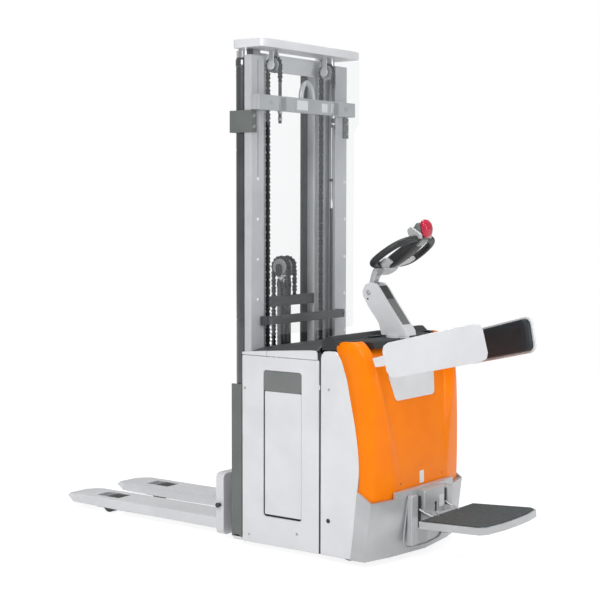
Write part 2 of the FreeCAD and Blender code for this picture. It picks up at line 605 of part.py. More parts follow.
place("castor_wheels", rims[0].fuse(rims[1]))

os.makedirs("parts", exist_ok=True)
for old in os.listdir("parts"):
    os.remove("parts/" + old)
for name, shape in nodes.items():
    shape.exportStep("parts/" + name + ".step")
    print(name, len(shape.Solids), round(shape.Volume / 1e6, 3), shape.isValid())
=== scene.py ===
"""Looks of a ride-on pallet stacker: mast, painted covers, orange motor cover, tiller, guards and platform.

Lengths in this file are millimetres in the part's own layout: X from the seam between the battery cover
and the drive hood, towards the platform, Y from the middle plane, Z from the floor. metres() turns them
into the frame. Each surface is a function of two parameters on a grid, or an outline carried along a line,
worked out as arrays.
"""
import json
import math
import bmesh
import bpy
import numpy as np
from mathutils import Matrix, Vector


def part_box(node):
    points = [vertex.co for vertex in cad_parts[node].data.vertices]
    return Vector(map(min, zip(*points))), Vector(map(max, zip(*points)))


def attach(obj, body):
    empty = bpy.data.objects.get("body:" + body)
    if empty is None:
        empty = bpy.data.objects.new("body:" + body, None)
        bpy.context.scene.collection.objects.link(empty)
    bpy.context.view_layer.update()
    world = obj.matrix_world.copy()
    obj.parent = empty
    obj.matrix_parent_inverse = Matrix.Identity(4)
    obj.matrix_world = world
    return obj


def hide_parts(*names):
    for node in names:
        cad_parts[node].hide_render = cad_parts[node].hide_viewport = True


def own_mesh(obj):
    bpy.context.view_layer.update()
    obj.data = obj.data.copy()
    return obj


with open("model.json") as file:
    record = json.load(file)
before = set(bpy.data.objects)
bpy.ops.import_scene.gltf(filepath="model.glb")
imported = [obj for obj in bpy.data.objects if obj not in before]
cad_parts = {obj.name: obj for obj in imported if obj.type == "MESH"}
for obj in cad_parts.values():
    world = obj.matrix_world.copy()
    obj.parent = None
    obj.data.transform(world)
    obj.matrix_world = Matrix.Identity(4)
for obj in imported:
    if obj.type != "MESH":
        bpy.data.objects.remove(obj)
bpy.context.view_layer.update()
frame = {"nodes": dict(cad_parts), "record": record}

# sizes shared with the frame
SEAM_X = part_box("drive_hood")[0].x * 1000.0 - 4.0
WIDTH = (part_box("drive_hood")[1].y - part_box("drive_hood")[0].y) * 1000.0
# the covers stand 2.6 mm inside the overall width, which their screw heads reach
HALF = WIDTH / 2.0 - 2.6
GROUND_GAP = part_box("drive_hood")[0].z * 1000.0
CROSSHEAD_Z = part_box("crosshead")[0].z * 1000.0
COLUMN_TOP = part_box("outer_columns")[1].z * 1000.0
BARREL_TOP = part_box("lift_barrels")[1].z * 1000.0
SHEAVE_Z = CROSSHEAD_Z - 69.0
CROSSBAR_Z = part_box("crossbar_upper")[1].z * 1000.0 - 166.0
FREE_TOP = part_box("free_lift_barrel")[1].z * 1000.0
PULLEY_Z = FREE_TOP + 66.0
SIDES = (("near", -1), ("far", 1))


def metres(points):
    """Millimetres from the seam plane, the middle plane and the floor, as metres in the frame."""
    return (np.asarray(points, float) + (SEAM_X, 0.0, 0.0)) / 1000.0


# shapes: each is (points, faces), points in millimetres


def grid_faces(rows, cols, ring_rows=False, ring_cols=False):
    """Quads between neighbouring points of a grid, joined end to start where a ring is asked for."""
    r = np.arange(rows if ring_rows else rows - 1)[:, None]
    c = np.arange(cols if ring_cols else cols - 1)[None, :]
    r1 = (r + 1) % rows
    c1 = (c + 1) % cols
    quads = np.stack([r * cols + c, r * cols + c1, r1 * cols + c1, r1 * cols + c], axis=-1)
    return quads.reshape(-1, 4).tolist()


def surface(points, ring_rows=False, ring_cols=False):
    """A grid of points, rows by columns by xyz, as a shape."""
    rows, cols = points.shape[:2]
    return points.reshape(-1, 3), grid_faces(rows, cols, ring_rows, ring_cols)


def closed_loft(rings):
    """Rings of equal point count joined in order, with a flat face over the first and the last."""
    rings = np.asarray(rings, float)
    rows, cols = rings.shape[:2]
    faces = grid_faces(rows, cols, ring_cols=True)
    faces.append(list(range(cols))[::-1])
    faces.append(list(range((rows - 1) * cols, rows * cols)))
    return rings.reshape(-1, 3), faces


def through(points, count, closed=False):
    """count points on a smooth curve through the given ones: a Catmull-Rom cubic between each pair."""
    p = np.asarray(points, float)
    n = len(p)
    if closed:
        ext = np.vstack([p[-1:], p, p[:2]])
        spans = n
    else:
        ext = np.vstack([2 * p[:1] - p[1:2], p, 2 * p[-1:] - p[-2:-1]])
        spans = n - 1
    at = np.linspace(0.0, spans, count, endpoint=not closed)
    i = np.minimum(at.astype(int), spans - 1)
    t = (at - i)[:, None]
    a, b, c, d = ext[i], ext[i + 1], ext[i + 2], ext[i + 3]
    return 0.5 * (
        2 * b + (c - a) * t + (2 * a - 5 * b + 4 * c - d) * t ** 2 + (3 * b - a - 3 * c + d) * t ** 3
    )


def rounded(outline, radius, steps=5):
    """A flat outline with each corner replaced by an arc of that radius, of steps points."""
    p = np.asarray(outline, float)
    back = np.roll(p, 1, axis=0) - p
    ahead = np.roll(p, -1, axis=0) - p
    len_b = np.linalg.norm(back, axis=1)
    len_a = np.linalg.norm(ahead, axis=1)
    back = back / len_b[:, None]
    ahead = ahead / len_a[:, None]
    half = np.arccos(np.clip((back * ahead).sum(1), -1, 1)) / 2.0
    reach = np.minimum(np.minimum(radius / np.tan(half), 0.49 * len_b), 0.49 * len_a)
    bisector = back + ahead
    bisector = bisector / np.linalg.norm(bisector, axis=1)[:, None]
    centre = p + bisector * (reach / np.cos(half))[:, None]
    start = p + back * reach[:, None] - centre
    end = p + ahead * reach[:, None] - centre
    t = np.linspace(0.0, 1.0, steps)[None, :, None]
    sweep = (np.pi / 2.0 - half)[:, None, None] * 2.0
    blend = (np.sin((1 - t) * sweep) * start[:, None] + np.sin(t * sweep) * end[:, None]) / np.sin(sweep)
    return (centre[:, None] + blend).reshape(-1, 2)


def ring(radius, count, u=0.0, v=0.0):
    """count points of a circle about (u, v)."""
    a = (np.arange(count) + 0.5) * 2.0 * np.pi / count
    return np.stack([u + radius * np.cos(a), v + radius * np.sin(a)], axis=1)


def slab(outline, across, low, high):
    """A flat outline carried along axis across ("x", "y" or "z") from low to high, closed."""
    p = np.asarray(outline, float)
    order = {
        "x": lambda h: (h, p[:, 0], p[:, 1]),
        "y": lambda h: (p[:, 0], h, p[:, 1]),
        "z": lambda h: (p[:, 0], p[:, 1], h),
    }
    levels = [np.stack(np.broadcast_arrays(*order[across](np.full(len(p), h))), axis=1) for h in (low, high)]
    return closed_loft(levels)


def block(x0, x1, y0, y1, z0, z1):
    """A closed block between two corners."""
    return slab([(x0, y0), (x1, y0), (x1, y1), (x0, y1)], "z", z0, z1)


def framed(outer, inner, across, low, high):
    """A plate with an opening: outer and inner outlines of equal point count, joined face to face."""
    rows = []
    for outline, h in ((outer, low), (outer, high), (inner, high), (inner, low)):
        p = np.asarray(outline, float)
        flat = np.full(len(p), float(h))
        columns = {
            "x": (flat, p[:, 0], p[:, 1]), "y": (p[:, 0], flat, p[:, 1]), "z": (p[:, 0], p[:, 1], flat)
        }
        rows.append(np.stack(columns[across], axis=1))
    return surface(np.array(rows), ring_rows=True, ring_cols=True)


AXES = {"x": np.eye(3)[[1, 2, 0]], "y": np.eye(3)[[2, 0, 1]], "z": np.eye(3)}


def lathe(profile, centre, axis="z", sides=48):
    """A (radius, height) profile turned about an axis: point = centre + r cos a u + r sin a v + h w."""
    prof = np.asarray(profile, float)
    a = np.arange(sides) * 2.0 * np.pi / sides
    u, v, w = AXES[axis]
    rings = (
        prof[:, 0, None, None] * (np.cos(a)[None, :, None] * u + np.sin(a)[None, :, None] * v)
        + prof[:, 1, None, None] * w
    )
    return closed_loft(rings + np.asarray(centre, float))


def tube(path, radius, sides=12, flat=1.0, up=(0.0, 0.0, 1.0)):
    """An oval section carried along a path: at each point side = tangent x up, rise = side x tangent."""
    p = np.asarray(path, float)
    tangent = np.gradient(p, axis=0)
    tangent /= np.linalg.norm(tangent, axis=1)[:, None]
    side = np.cross(tangent, np.asarray(up, float))
    side /= np.linalg.norm(side, axis=1)[:, None]
    rise = np.cross(side, tangent)
    a = np.arange(sides) * 2.0 * np.pi / sides
    r = np.broadcast_to(np.asarray(radius, float), len(p))[:, None, None]
    rings = p[:, None] + r * (
        np.cos(a)[None, :, None] * side[:, None] + flat * np.sin(a)[None, :, None] * rise[:, None]
    )
    return closed_loft(rings)


def many(shape, places):
    """A shape repeated at each place, as one."""
    points, faces = shape
    places = np.asarray(places, float)
    count = len(points)
    everywhere = (places[:, None] + points[None]).reshape(-1, 3)
    repeated = [[i + k * count for i in face] for k in range(len(places)) for face in faces]
    return everywhere, repeated


def hex_head(across, height, axis, sign=1.0):
    """A hexagon head on a washer, standing sign times height out along an axis."""
    washer = lathe([(across * 0.72, 0.0), (across * 0.72, sign * 1.6)], (0, 0, 0), axis, 16)
    head = lathe(
        [
            (across * 0.577, sign * 1.6), (across * 0.577, sign * height * 0.85),
            (across * 0.47, sign * height),
        ],
        (0, 0, 0),
        axis,
        6,
    )
    return both(washer, head)


def both(*shapes):
    """Several shapes as one."""
    points, faces, start = [], [], 0
    for p, f in shapes:
        points.append(p)
        faces += [[i + start for i in face] for face in f]
        start += len(p)
    return np.vstack(points), faces


def turned(shape, angle, axis, centre=(0, 0, 0)):
    """A shape turned by an angle in degrees about an axis through a point."""
    points, faces = shape
    t = math.radians(angle)
    c, s = math.cos(t), math.sin(t)
    u, v, w = AXES[axis]
    rel = points - np.asarray(centre, float)
    pu, pv, pw = rel @ u, rel @ v, rel @ w
    out = np.outer(c * pu - s * pv, u) + np.outer(s * pu + c * pv, v) + np.outer(pw, w)
    return out + np.asarray(centre, float), faces


def moved(shape, offset):
    """A shape shifted by an offset."""
    return shape[0] + np.asarray(offset, float), shape[1]


def mirrored(shape, sign):
    """A shape with Y turned to the side that sign names."""
    return shape[0] * (1.0, float(sign), 1.0), shape[1]


# pieces


def finish_mesh(mesh, smooth):
    """Doubles merged, faces turned outwards, and edges sharper than smooth degrees kept crisp."""
    work = bmesh.new()
    work.from_mesh(mesh)
    bmesh.ops.remove_doubles(work, verts=work.verts, dist=1e-6)
    bmesh.ops.recalc_face_normals(work, faces=work.faces)
    work.to_mesh(mesh)
    work.free()
    mesh.shade_smooth()
    mesh.set_sharp_from_angle(angle=math.radians(smooth))


def edged(obj, width, segments=3):
    """Edges over 30 degrees rounded by width millimetres."""
    bevel = obj.modifiers.new("edges", "BEVEL")
    bevel.width = width / 1000.0
    bevel.segments = segments
    bevel.limit_method = "ANGLE"
    bevel.angle_limit = math.radians(30)
    bevel.harden_normals = True
    bevel.use_clamp_overlap = True


def piece(name, body, shape, material, edge=0.0, wall=0.0, smooth=35.0, stands_for=()):
    """A named mesh from a shape in millimetres, riding on a body."""
    mesh = bpy.data.meshes.new(name)
    mesh.from_pydata(metres(shape[0]).tolist(), [], shape[1])
    finish_mesh(mesh, smooth)
    obj = bpy.data.objects.new(name, mesh)
    bpy.context.scene.collection.objects.link(obj)
    mesh.materials.append(material)
    if wall:
        solid = obj.modifiers.new("wall", "SOLIDIFY")
        solid.thickness = wall / 1000.0
        solid.offset = -1.0
    if edge:
        edged(obj, edge)
    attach(obj, body)
    if stands_for:
        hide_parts(*stands_for)
    return obj


def eased(node, material, edge, name=None, segments=2):
    """A solid's own surface with its flat faces made whole and its edges rounded by edge millimetres."""
    source = frame["nodes"][node]
    mesh = source.data.copy()
    mesh.name = name or node + "_dressed"
    work = bmesh.new()
    work.from_mesh(mesh)
    bmesh.ops.remove_doubles(work, verts=work.verts, dist=2e-6)
    bmesh.ops.dissolve_limit(
        work, angle_limit=math.radians(0.6), verts=work.verts, edges=work.edges, use_dissolve_boundaries=False
    )
    work.to_mesh(mesh)
    work.free()
    mesh.shade_smooth()
    mesh.set_sharp_from_angle(angle=math.radians(28))
    obj = bpy.data.objects.new(mesh.name, mesh)
    bpy.context.scene.collection.objects.link(obj)
    mesh.materials.clear()
    mesh.materials.append(material)
    edged(obj, edge, segments)
    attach(obj, BODY_OF[node])
    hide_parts(node)
    return obj


BODY_OF = {n: b for b, nodes in frame["record"]["behaviour"]["bodies"].items() for n in nodes}


# materials


def linear(hex_colour):
    """An sRGB hex colour as linear RGBA."""
    srgb = np.array([int(hex_colour[i : i + 2], 16) for i in (1, 3, 5)]) / 255.0
    rgb = np.where(srgb <= 0.04045, srgb / 12.92, ((srgb + 0.055) / 1.055) ** 2.4)
    return (*rgb.tolist(), 1.0)


def add(tree, kind, sockets=None, **settings):
    """A node with its settings; sockets gives an input a value or another node's output."""
    made = tree.nodes.new("ShaderNode" + kind)
    for name, value in settings.items():
        setattr(made, name, value)
    for name, value in (sockets or {}).items():
        if isinstance(value, bpy.types.NodeSocket):
            tree.links.new(value, made.inputs[name])
        else:
            made.inputs[name].default_value = value
    return made


def start_material(name):
    """An empty material, its node tree and a socket of object coordinates."""
    material = bpy.data.materials.new(name)
    material.use_nodes = True
    tree = material.node_tree
    tree.nodes.clear()
    return material, tree, add(tree, "TexCoord").outputs["Object"]


def end_material(tree, shader):
    """Join the shader to the material's surface."""
    out = add(tree, "OutputMaterial")
    tree.links.new(shader.outputs[0], out.inputs["Surface"])


def per_mm(size):
    """The noise scale whose features are size millimetres across, in a frame of metres."""
    return 1000.0 / size


def painted(name, base, shade, rough, metal, peel_mm, coat, rail_track=False):
    """Sprayed paint over steel: two near tones drift, a fine peel breaks the gloss, a clear coat on top.

    With rail_track, everything ahead of TRACK_X is a darker grey.
    """
    material, tree, where = start_material(name)
    drift = add(tree, "TexNoise", {"Vector": where, "Scale": per_mm(180.0), "Detail": 3.0})
    tone = add(tree, "ValToRGB", {"Fac": drift.outputs["Fac"]})
    tone.color_ramp.elements[0].position = 0.35
    tone.color_ramp.elements[0].color = linear(shade)
    tone.color_ramp.elements[1].position = 0.65
    tone.color_ramp.elements[1].color = linear(base)
    colour = tone
    if rail_track:
        split = add(tree, "SeparateXYZ", {"Vector": where})
        track = {"Value": split.outputs["X"], "From Min": TRACK_X - 0.0008, "From Max": TRACK_X}
        ahead = add(tree, "MapRange", track)
        colour = add(
            tree,
            "MixRGB",
            {
                "Fac": ahead.outputs["Result"],
                "Color1": linear("#3E4142"),
                "Color2": tone.outputs["Color"],
            },
        )
    peel = add(tree, "TexNoise", {"Vector": where, "Scale": per_mm(peel_mm), "Detail": 2.0})
    gloss = add(
        tree, "MapRange", {"Value": drift.outputs["Fac"], "To Min": rough - 0.05, "To Max": rough + 0.06}
    )
    relief = add(tree, "Bump", {"Height": peel.outputs["Fac"], "Distance": 0.00012, "Strength": 0.35})
    shader = add(
        tree,
        "BsdfPrincipled",
        {
            "Base Color": colour.outputs["Color"],
            "Roughness": gloss.outputs["Result"],
            "Normal": relief.outputs["Normal"],
            "Metallic": metal,
            "Coat Weight": coat,
            "Coat Roughness": 0.12,
        },
    )
    end_material(tree, shader)
    return material


def moulded(name, base, shade, rough, grain_mm, grain_depth, coat=0.0, specular=0.5):
    """Injection-moulded plastic: even colour, a fine spark grain and a slight change of gloss."""
    material, tree, where = start_material(name)
    drift = add(tree, "TexNoise", {"Vector": where, "Scale": per_mm(90.0), "Detail": 2.0})
    tone = add(tree, "ValToRGB", {"Fac": drift.outputs["Fac"]})
    tone.color_ramp.elements[0].position = 0.3
    tone.color_ramp.elements[0].color = linear(shade)
    tone.color_ramp.elements[1].position = 0.7
    tone.color_ramp.elements[1].color = linear(base)
    grain = add(tree, "TexVoronoi", {"Vector": where, "Scale": per_mm(grain_mm)})
    gloss = add(
        tree, "MapRange", {"Value": drift.outputs["Fac"], "To Min": rough - 0.03, "To Max": rough + 0.04}
    )
    relief = add(
        tree,
        "Bump",
        {"Height": grain.outputs["Distance"], "Distance": grain_depth / 1000.0, "Strength": 0.5},
    )
    shader = add(
        tree,
        "BsdfPrincipled",
        {
            "Base Color": tone.outputs["Color"],
            "Roughness": gloss.outputs["Result"],
            "Normal": relief.outputs["Normal"],
            "Specular IOR Level": specular,
            "Coat Weight": coat,
            "Coat Roughness": 0.06,
        },
    )
    end_material(tree, shader)
    return material


def worked_metal(name, base, shade, rough, streak_mm, stretch):
    """Bare metal drawn or ground one way: fine streaks in tone and gloss, long along the stretched axis."""
    material, tree, where = start_material(name)
    drawn = add(tree, "Mapping", {"Vector": where, "Scale": stretch})
    streak = add(
        tree, "TexNoise", {"Vector": drawn.outputs["Vector"], "Scale": per_mm(streak_mm), "Detail": 3.0}
    )
    tone = add(tree, "ValToRGB", {"Fac": streak.outputs["Fac"]})
    tone.color_ramp.elements[0].color = linear(shade)
    tone.color_ramp.elements[1].color = linear(base)
    gloss = add(
        tree, "MapRange", {"Value": streak.outputs["Fac"], "To Min": rough - 0.05, "To Max": rough + 0.08}
    )
    relief = add(tree, "Bump", {"Height": streak.outputs["Fac"], "Distance": 0.00004, "Strength": 0.3})
    shader = add(
        tree,
        "BsdfPrincipled",
        {
            "Base Color": tone.outputs["Color"],
            "Roughness": gloss.outputs["Result"],
            "Normal": relief.outputs["Normal"],
            "Metallic": 1.0,
        },
    )
    end_material(tree, shader)
    return material


def ribbed_rubber():
    """Mineral-filled rubber mat: dull black with a pebbled face, and a fine speckle painted into its colour
    as the glints of that face.
    """
    material, tree, where = start_material("pebbled_rubber_mat")
    pebble = add(tree, "TexVoronoi", {"Vector": where, "Scale": per_mm(7.0)}, feature="SMOOTH_F1")
    speck = add(tree, "TexNoise", {"Vector": where, "Scale": per_mm(14.0), "Detail": 4.0})
    tone = add(tree, "ValToRGB", {"Fac": speck.outputs["Fac"]})
    tone.color_ramp.elements[0].position = 0.3
    tone.color_ramp.elements[0].color = linear("#343C3E")
    tone.color_ramp.elements[1].position = 0.75
    tone.color_ramp.elements[1].color = linear("#495457")
    relief = add(tree, "Bump", {"Height": pebble.outputs["Distance"], "Distance": 0.0009, "Strength": 0.8})
    shader = add(
        tree,
        "BsdfPrincipled",
        {"Base Color": tone.outputs["Color"], "Roughness": 0.72, "Normal": relief.outputs["Normal"]},
    )
    end_material(tree, shader)
    return material


def foam_skin():
    """Self-skinned polyurethane foam: black, satin, with a leathery grain about 2 mm across."""
    material, tree, where = start_material("self_skinned_foam")
    grain = add(tree, "TexVoronoi", {"Vector": where, "Scale": per_mm(2.4)}, feature="DISTANCE_TO_EDGE")
    drift = add(tree, "TexNoise", {"Vector": where, "Scale": per_mm(60.0), "Detail": 3.0})
    gloss = add(tree, "MapRange", {"Value": drift.outputs["Fac"], "To Min": 0.48, "To Max": 0.62})
    tone = add(tree, "ValToRGB", {"Fac": drift.outputs["Fac"]})
    tone.color_ramp.elements[0].color = linear("#11181D")
    tone.color_ramp.elements[1].color = linear("#1A2227")
    relief = add(tree, "Bump", {"Height": grain.outputs["Distance"], "Distance": 0.00035, "Strength": 0.6})
    shader = add(
        tree,
        "BsdfPrincipled",
        {
            "Base Color": tone.outputs["Color"],
            "Roughness": gloss.outputs["Result"],
            "Normal": relief.outputs["Normal"],
        },
    )
    end_material(tree, shader)
    return material


def cast_tread():
    """Cast polyurethane tread: dark grey, slightly clouded."""
    material, tree, where = start_material("cast_polyurethane_tread")
    cloud = add(tree, "TexNoise", {"Vector": where, "Scale": per_mm(25.0), "Detail": 4.0})
    tone = add(tree, "ValToRGB", {"Fac": cloud.outputs["Fac"]})
    tone.color_ramp.elements[0].position = 0.3
    tone.color_ramp.elements[0].color = linear("#3B3A38")
    tone.color_ramp.elements[1].position = 0.7
    tone.color_ramp.elements[1].color = linear("#504E4B")
    relief = add(tree, "Bump", {"Height": cloud.outputs["Fac"], "Distance": 0.0003, "Strength": 0.4})
    shader = add(
        tree,
        "BsdfPrincipled",
        {"Base Color": tone.outputs["Color"], "Roughness": 0.5, "Normal": relief.outputs["Normal"]},
    )
    end_material(tree, shader)
    return material


def clear_sheet():
    """Clear polycarbonate sheet: almost unseen face on, a grey edge, a faint film of dust in its gloss."""
    material, tree, where = start_material("clear_polycarbonate")
    dust = add(tree, "TexNoise", {"Vector": where, "Scale": per_mm(240.0), "Detail": 3.0})
    gloss = add(tree, "MapRange", {"Value": dust.outputs["Fac"], "To Min": 0.02, "To Max": 0.09})
    facing = add(tree, "LayerWeight", {"Blend": 0.25})
    share = add(tree, "MapRange", {"Value": facing.outputs["Facing"], "To Min": 0.0, "To Max": 0.22})
    see = add(tree, "BsdfTransparent", {"Color": linear("#FCFDFD")})
    shine = add(
        tree, "BsdfPrincipled", {"Base Color": linear("#E4E7E9"), "Roughness": gloss.outputs["Result"]}
    )
    mix = add(
        tree, "MixShader", {0: share.outputs["Result"], 1: see.outputs["BSDF"], 2: shine.outputs["BSDF"]}
    )
    end_material(tree, mix)
    return material


def glazed_display():
    """Liquid crystal display behind a glossy window: grey-green, in tones that drift at random."""
    material, tree, where = start_material("display_window")
    cloud = add(tree, "TexNoise", {"Vector": where, "Scale": per_mm(40.0), "Detail": 1.0})
    tone = add(tree, "ValToRGB", {"Fac": cloud.outputs["Fac"]})
    tone.color_ramp.elements[0].color = linear("#5E686C")
    tone.color_ramp.elements[1].color = linear("#8B959A")
    shader = add(
        tree,
        "BsdfPrincipled",
        {"Base Color": tone.outputs["Color"], "Roughness": 0.08, "Coat Weight": 1.0},
    )
    end_material(tree, shader)
    return material


# powder coat, satin metallic: soft broad highlights with a grain that shows only close up
silver_paint = painted("silver_powder_coat", "#BBBDBF", "#B0B2B4", 0.36, 0.3, 1.6, 0.15)
# metallic grey-white enamel of the covers: brighter, smoother
light_paint = painted("light_grey_enamel", "#DDDEE1", "#D6D7DA", 0.32, 0.08, 2.4, 0.25)
# dark grey powder coat of lid and brackets: slightly rough
dark_paint = painted("dark_grey_powder_coat", "#464849", "#3D3F40", 0.46, 0.15, 1.2, 0.05)
# mid grey coat of the clamp
bracket_paint = painted("mid_grey_powder_coat", "#6C716F", "#646967", 0.44, 0.15, 1.3, 0.05)
# front flange of the inner rails ends here, in metres of the shared frame
TRACK_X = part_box("inner_rails")[0].x + 0.0116
# pale grey paint of the moving rails: a plain satin
rail_paint = painted("grey_rail_paint", "#B9BBBD", "#AEB0B2", 0.38, 0.1, 1.6, 0.1)
# the inner rails' paint, with the front flange a darker grey
track_paint = painted("rail_with_dark_front_flange", "#C6C8CA", "#BCBEC0", 0.36, 0.1, 1.6, 0.1, True)
# the fixed columns' enamel, a shade deeper than the covers
column_paint = painted("column_enamel", "#C4C6C9", "#BABCBF", 0.34, 0.15, 2.0, 0.2)
# black gloss paint of the cylinders, its colour lifted to a dark grey as a painted reflection of the bright
# surroundings
black_gloss_painted_sheen = painted("black_enamel_with_painted_sheen", "#505457", "#44484A", 0.2, 0.45, 3.0, 1.0)
# orange moulded ABS with a high gloss
orange_abs = moulded("orange_gloss_abs", "#FF8600", "#FC7F00", 0.34, 3.0, 0.02, 0.03, 0.14)
# black moulded ABS with a spark-eroded grain
black_abs = moulded("black_grained_abs", "#2A2C2E", "#222426", 0.48, 1.1, 0.12)
# smooth grey plastic of the door's window, the foot's insert and the button housing
window_plastic = moulded("grey_tinted_plastic", "#707473", "#6A6E6D", 0.28, 4.0, 0.01, 0.3)
plate_film = moulded("blank_plate_film", "#E3E4E6", "#DDDFE1", 0.3, 4.0, 0.01, 0.2)
red_abs = moulded("red_gloss_abs", "#C40038", "#B60032", 0.25, 3.0, 0.02, 0.4)
# zinc-plated steel of screws: pale, faintly streaked
zinc = worked_metal("zinc_plated_steel", "#C9CBCC", "#A7A9AB", 0.32, 3.0, (1.0, 1.0, 1.0))
# hard chrome of the rods, ground round: near mirror
chrome = worked_metal("hard_chrome", "#E4E5E6", "#D2D4D5", 0.14, 2.0, (1.0, 1.0, 30.0))
# oiled chain steel: dark, with bright rubbed plates
chain_steel = worked_metal("oiled_chain_steel", "#66686A", "#343638", 0.42, 4.0, (1.0, 1.0, 1.0))
mat_rubber = ribbed_rubber()
pad_foam = foam_skin()
tread = cast_tread()
screen_sheet = clear_sheet()
display_glass = glazed_display()


# battery compartment: side covers with a recessed door and a window strip
COVER_FRONT = -448.0
COVER_REAR = -5.0
LID_SEAM_Z = 910.0
DOOR = (-322.0, -104.0, 164.0, 846.0)
WINDOW_Z = 750.0


def rectangle(x0, x1, z0, z1):
    """Four corners, foot first, turning from front to rear."""
    return [(x0, z0), (x1, z0), (x1, z1), (x0, z1)]


def cover_panel(sign):
    """The pressed side panel with the door's opening."""
    outer = rounded(rectangle(COVER_FRONT, COVER_REAR, GROUND_GAP, LID_SEAM_Z), 5.0, 5)
    inner = rounded(rectangle(*DOOR), 14.0, 5)
    return mirrored(framed(outer, inner, "y", HALF, HALF - 12.0), sign)


def door_panel(sign):
    """The door's skin, set 4 mm back, with a wide slit at its front and foot."""
    x0, x1, z0, z1 = DOOR
    outline = rounded(rectangle(x0 + 8.0, x1 - 0.8, z0 + 10.0, WINDOW_Z - 1.0), 4.0, 4)
    return mirrored(slab(outline, "y", HALF - 2.2, HALF - 8.0), sign)


def door_window(sign):
    """The window strip at the door's top, 6 mm back."""
    x0, x1, z0, z1 = DOOR
    outline = rounded(rectangle(x0 + 1.0, x1 - 1.0, WINDOW_Z, z1 - 1.0), 14.0, 5)
    return mirrored(slab(outline, "y", HALF - 3.4, HALF - 9.0), sign)


def door_slit_shade_sheet(sign):
    """A dark sheet behind the slit round the door: painted shade that stands for the shadow inside the slit.
    """
    x0, x1, z0, z1 = DOOR
    return mirrored(slab(rectangle(x0 - 6, x1 + 6, z0 - 6, z1 + 6), "y", HALF - 12.2, HALF - 15.0), sign)


def lid_band_top(x):
    """Upper edge of the light band round the lid: seam height + 14, rising by 32 towards the rear."""
    return LID_SEAM_Z + 14.0 + 32.0 * np.clip((np.asarray(x, float) - COVER_FRONT) / 430.0, 0.0, 1.0) ** 0.9


def lid_band(x0, x1):
    """The light band under the lid's dark top: a shallow tray's rim, 11 mm wide, its ends rounded."""
    shapes = []
    for _, sign in SIDES:
        xs = np.linspace(x0, x1, 9)
        top = [(x, lid_band_top(x)) for x in xs[::-1]]
        if x1 > -50.0:
            corner = [(x1, LID_SEAM_Z + 22.0), (x1 - 3.0, LID_SEAM_Z + 35.0), (x1 - 10.0, LID_SEAM_Z + 43.0)]
            top = corner + top[1:]
        outline = [(x0, LID_SEAM_Z + 1.6), (x1, LID_SEAM_Z + 1.6)] + top
        shapes.append(mirrored(slab(outline, "y", HALF, HALF - 11.0), sign))
    return shapes


def lid_crown(x0, x1):
    """The lid's dark top: z = band top + rise(x) (1 - |y / half|^7), a crown higher towards the rear."""
    xs = np.linspace(x0, x1, 24)[:, None]
    ys = np.sin(np.linspace(-1, 1, 61) * np.pi / 2)[None, :] * (HALF - 9.0)
    share = np.abs(ys) / (HALF - 9.0)
    rise = 13.0 + 29.0 * np.clip((xs - COVER_FRONT) / 430.0, 0, 1)
    z = lid_band_top(xs) - 3.0 + rise * (1.0 - share ** 7.0)
    points = np.stack([xs + 0.0 * ys, ys + 0.0 * xs, z], axis=-1)
    return surface(points)


for label, sign in SIDES:
    stands = ("battery_covers",) if sign < 0 else ()
    piece(
        "battery_cover_" + label,
        "truck",
        cover_panel(sign),
        light_paint,
        edge=6.0,
        stands_for=stands,
    )
    piece("cover_door_" + label, "truck", door_panel(sign), light_paint, edge=1.6)
    piece("door_window_" + label, "truck", door_window(sign), window_plastic, edge=1.0)
    # a black sheet behind each door's slit: painted shade
    piece("door_slit_shade_" + label, "truck", door_slit_shade_sheet(sign), black_abs)

LID_SPLIT = -303.0
LID_REAR = -14.0
piece(
    "lid_band_front",
    "truck",
    both(*lid_band(COVER_FRONT, LID_SPLIT - 0.6)),
    light_paint,
    edge=3.0,
)
piece(
    "lid_crown_front",
    "truck",
    lid_crown(COVER_FRONT + 2, LID_SPLIT - 0.6),
    dark_paint,
    wall=5.0,
)
lid_rim = both(*lid_band(LID_SPLIT + 0.6, LID_REAR))
piece("lid_band", "lid", lid_rim, light_paint, edge=3.0, stands_for=("battery_lid",))
piece(
    "lid_crown",
    "lid",
    lid_crown(LID_SPLIT + 0.6, LID_REAR),
    dark_paint,
    wall=5.0,
    stands_for=("lid_top",),
)
# black blocks behind the gap between battery cover and hood: painted shade that darkens the seam
seam_shade_block = block(-8.0, 4.5, HALF - 13.0, HALF - 5.0, GROUND_GAP + 2, LID_SEAM_Z + 36.0)
seam_shade_blocks = [mirrored(seam_shade_block, sign) for _, sign in SIDES]
piece("seam_gap_shade", "truck", both(*seam_shade_blocks), black_abs)
seam_latch = slab(rounded(rectangle(-11.0, -1.0, 778.0, 800.0), 3.0, 4), "y", 4.0 - HALF, 12.0 - HALF)
piece("seam_latch", "truck", seam_latch, plate_film, edge=0.8)


# drive hood: side panels whose curved rear edge meets the orange cover
HOOD_CURVE = [
    (171, GROUND_GAP), (182, 110), (196, 230), (206, 341), (214, 430), (211, 520), (198, 600),
    (180, 695), (159, 790), (134, 880), (112, 930), (90, 957),
]


def hood_panel(sign):
    """A 12 mm pressing between the seam and the curve, its top front corner rounded."""
    rear = through(HOOD_CURVE, 40)
    front = np.array([(50, 957), (22, 953), (8, 940), (4, 920), (4, GROUND_GAP)])
    return mirrored(slab(np.vstack([rear, front]), "y", HALF, HALF - 12.0), sign)


for label, sign in SIDES:
    stands = ("drive_hood",) if sign < 0 else ()
    piece(
        "hood_panel_" + label,
        "truck",
        hood_panel(sign),
        light_paint,
        edge=6.0,
        stands_for=stands,
    )


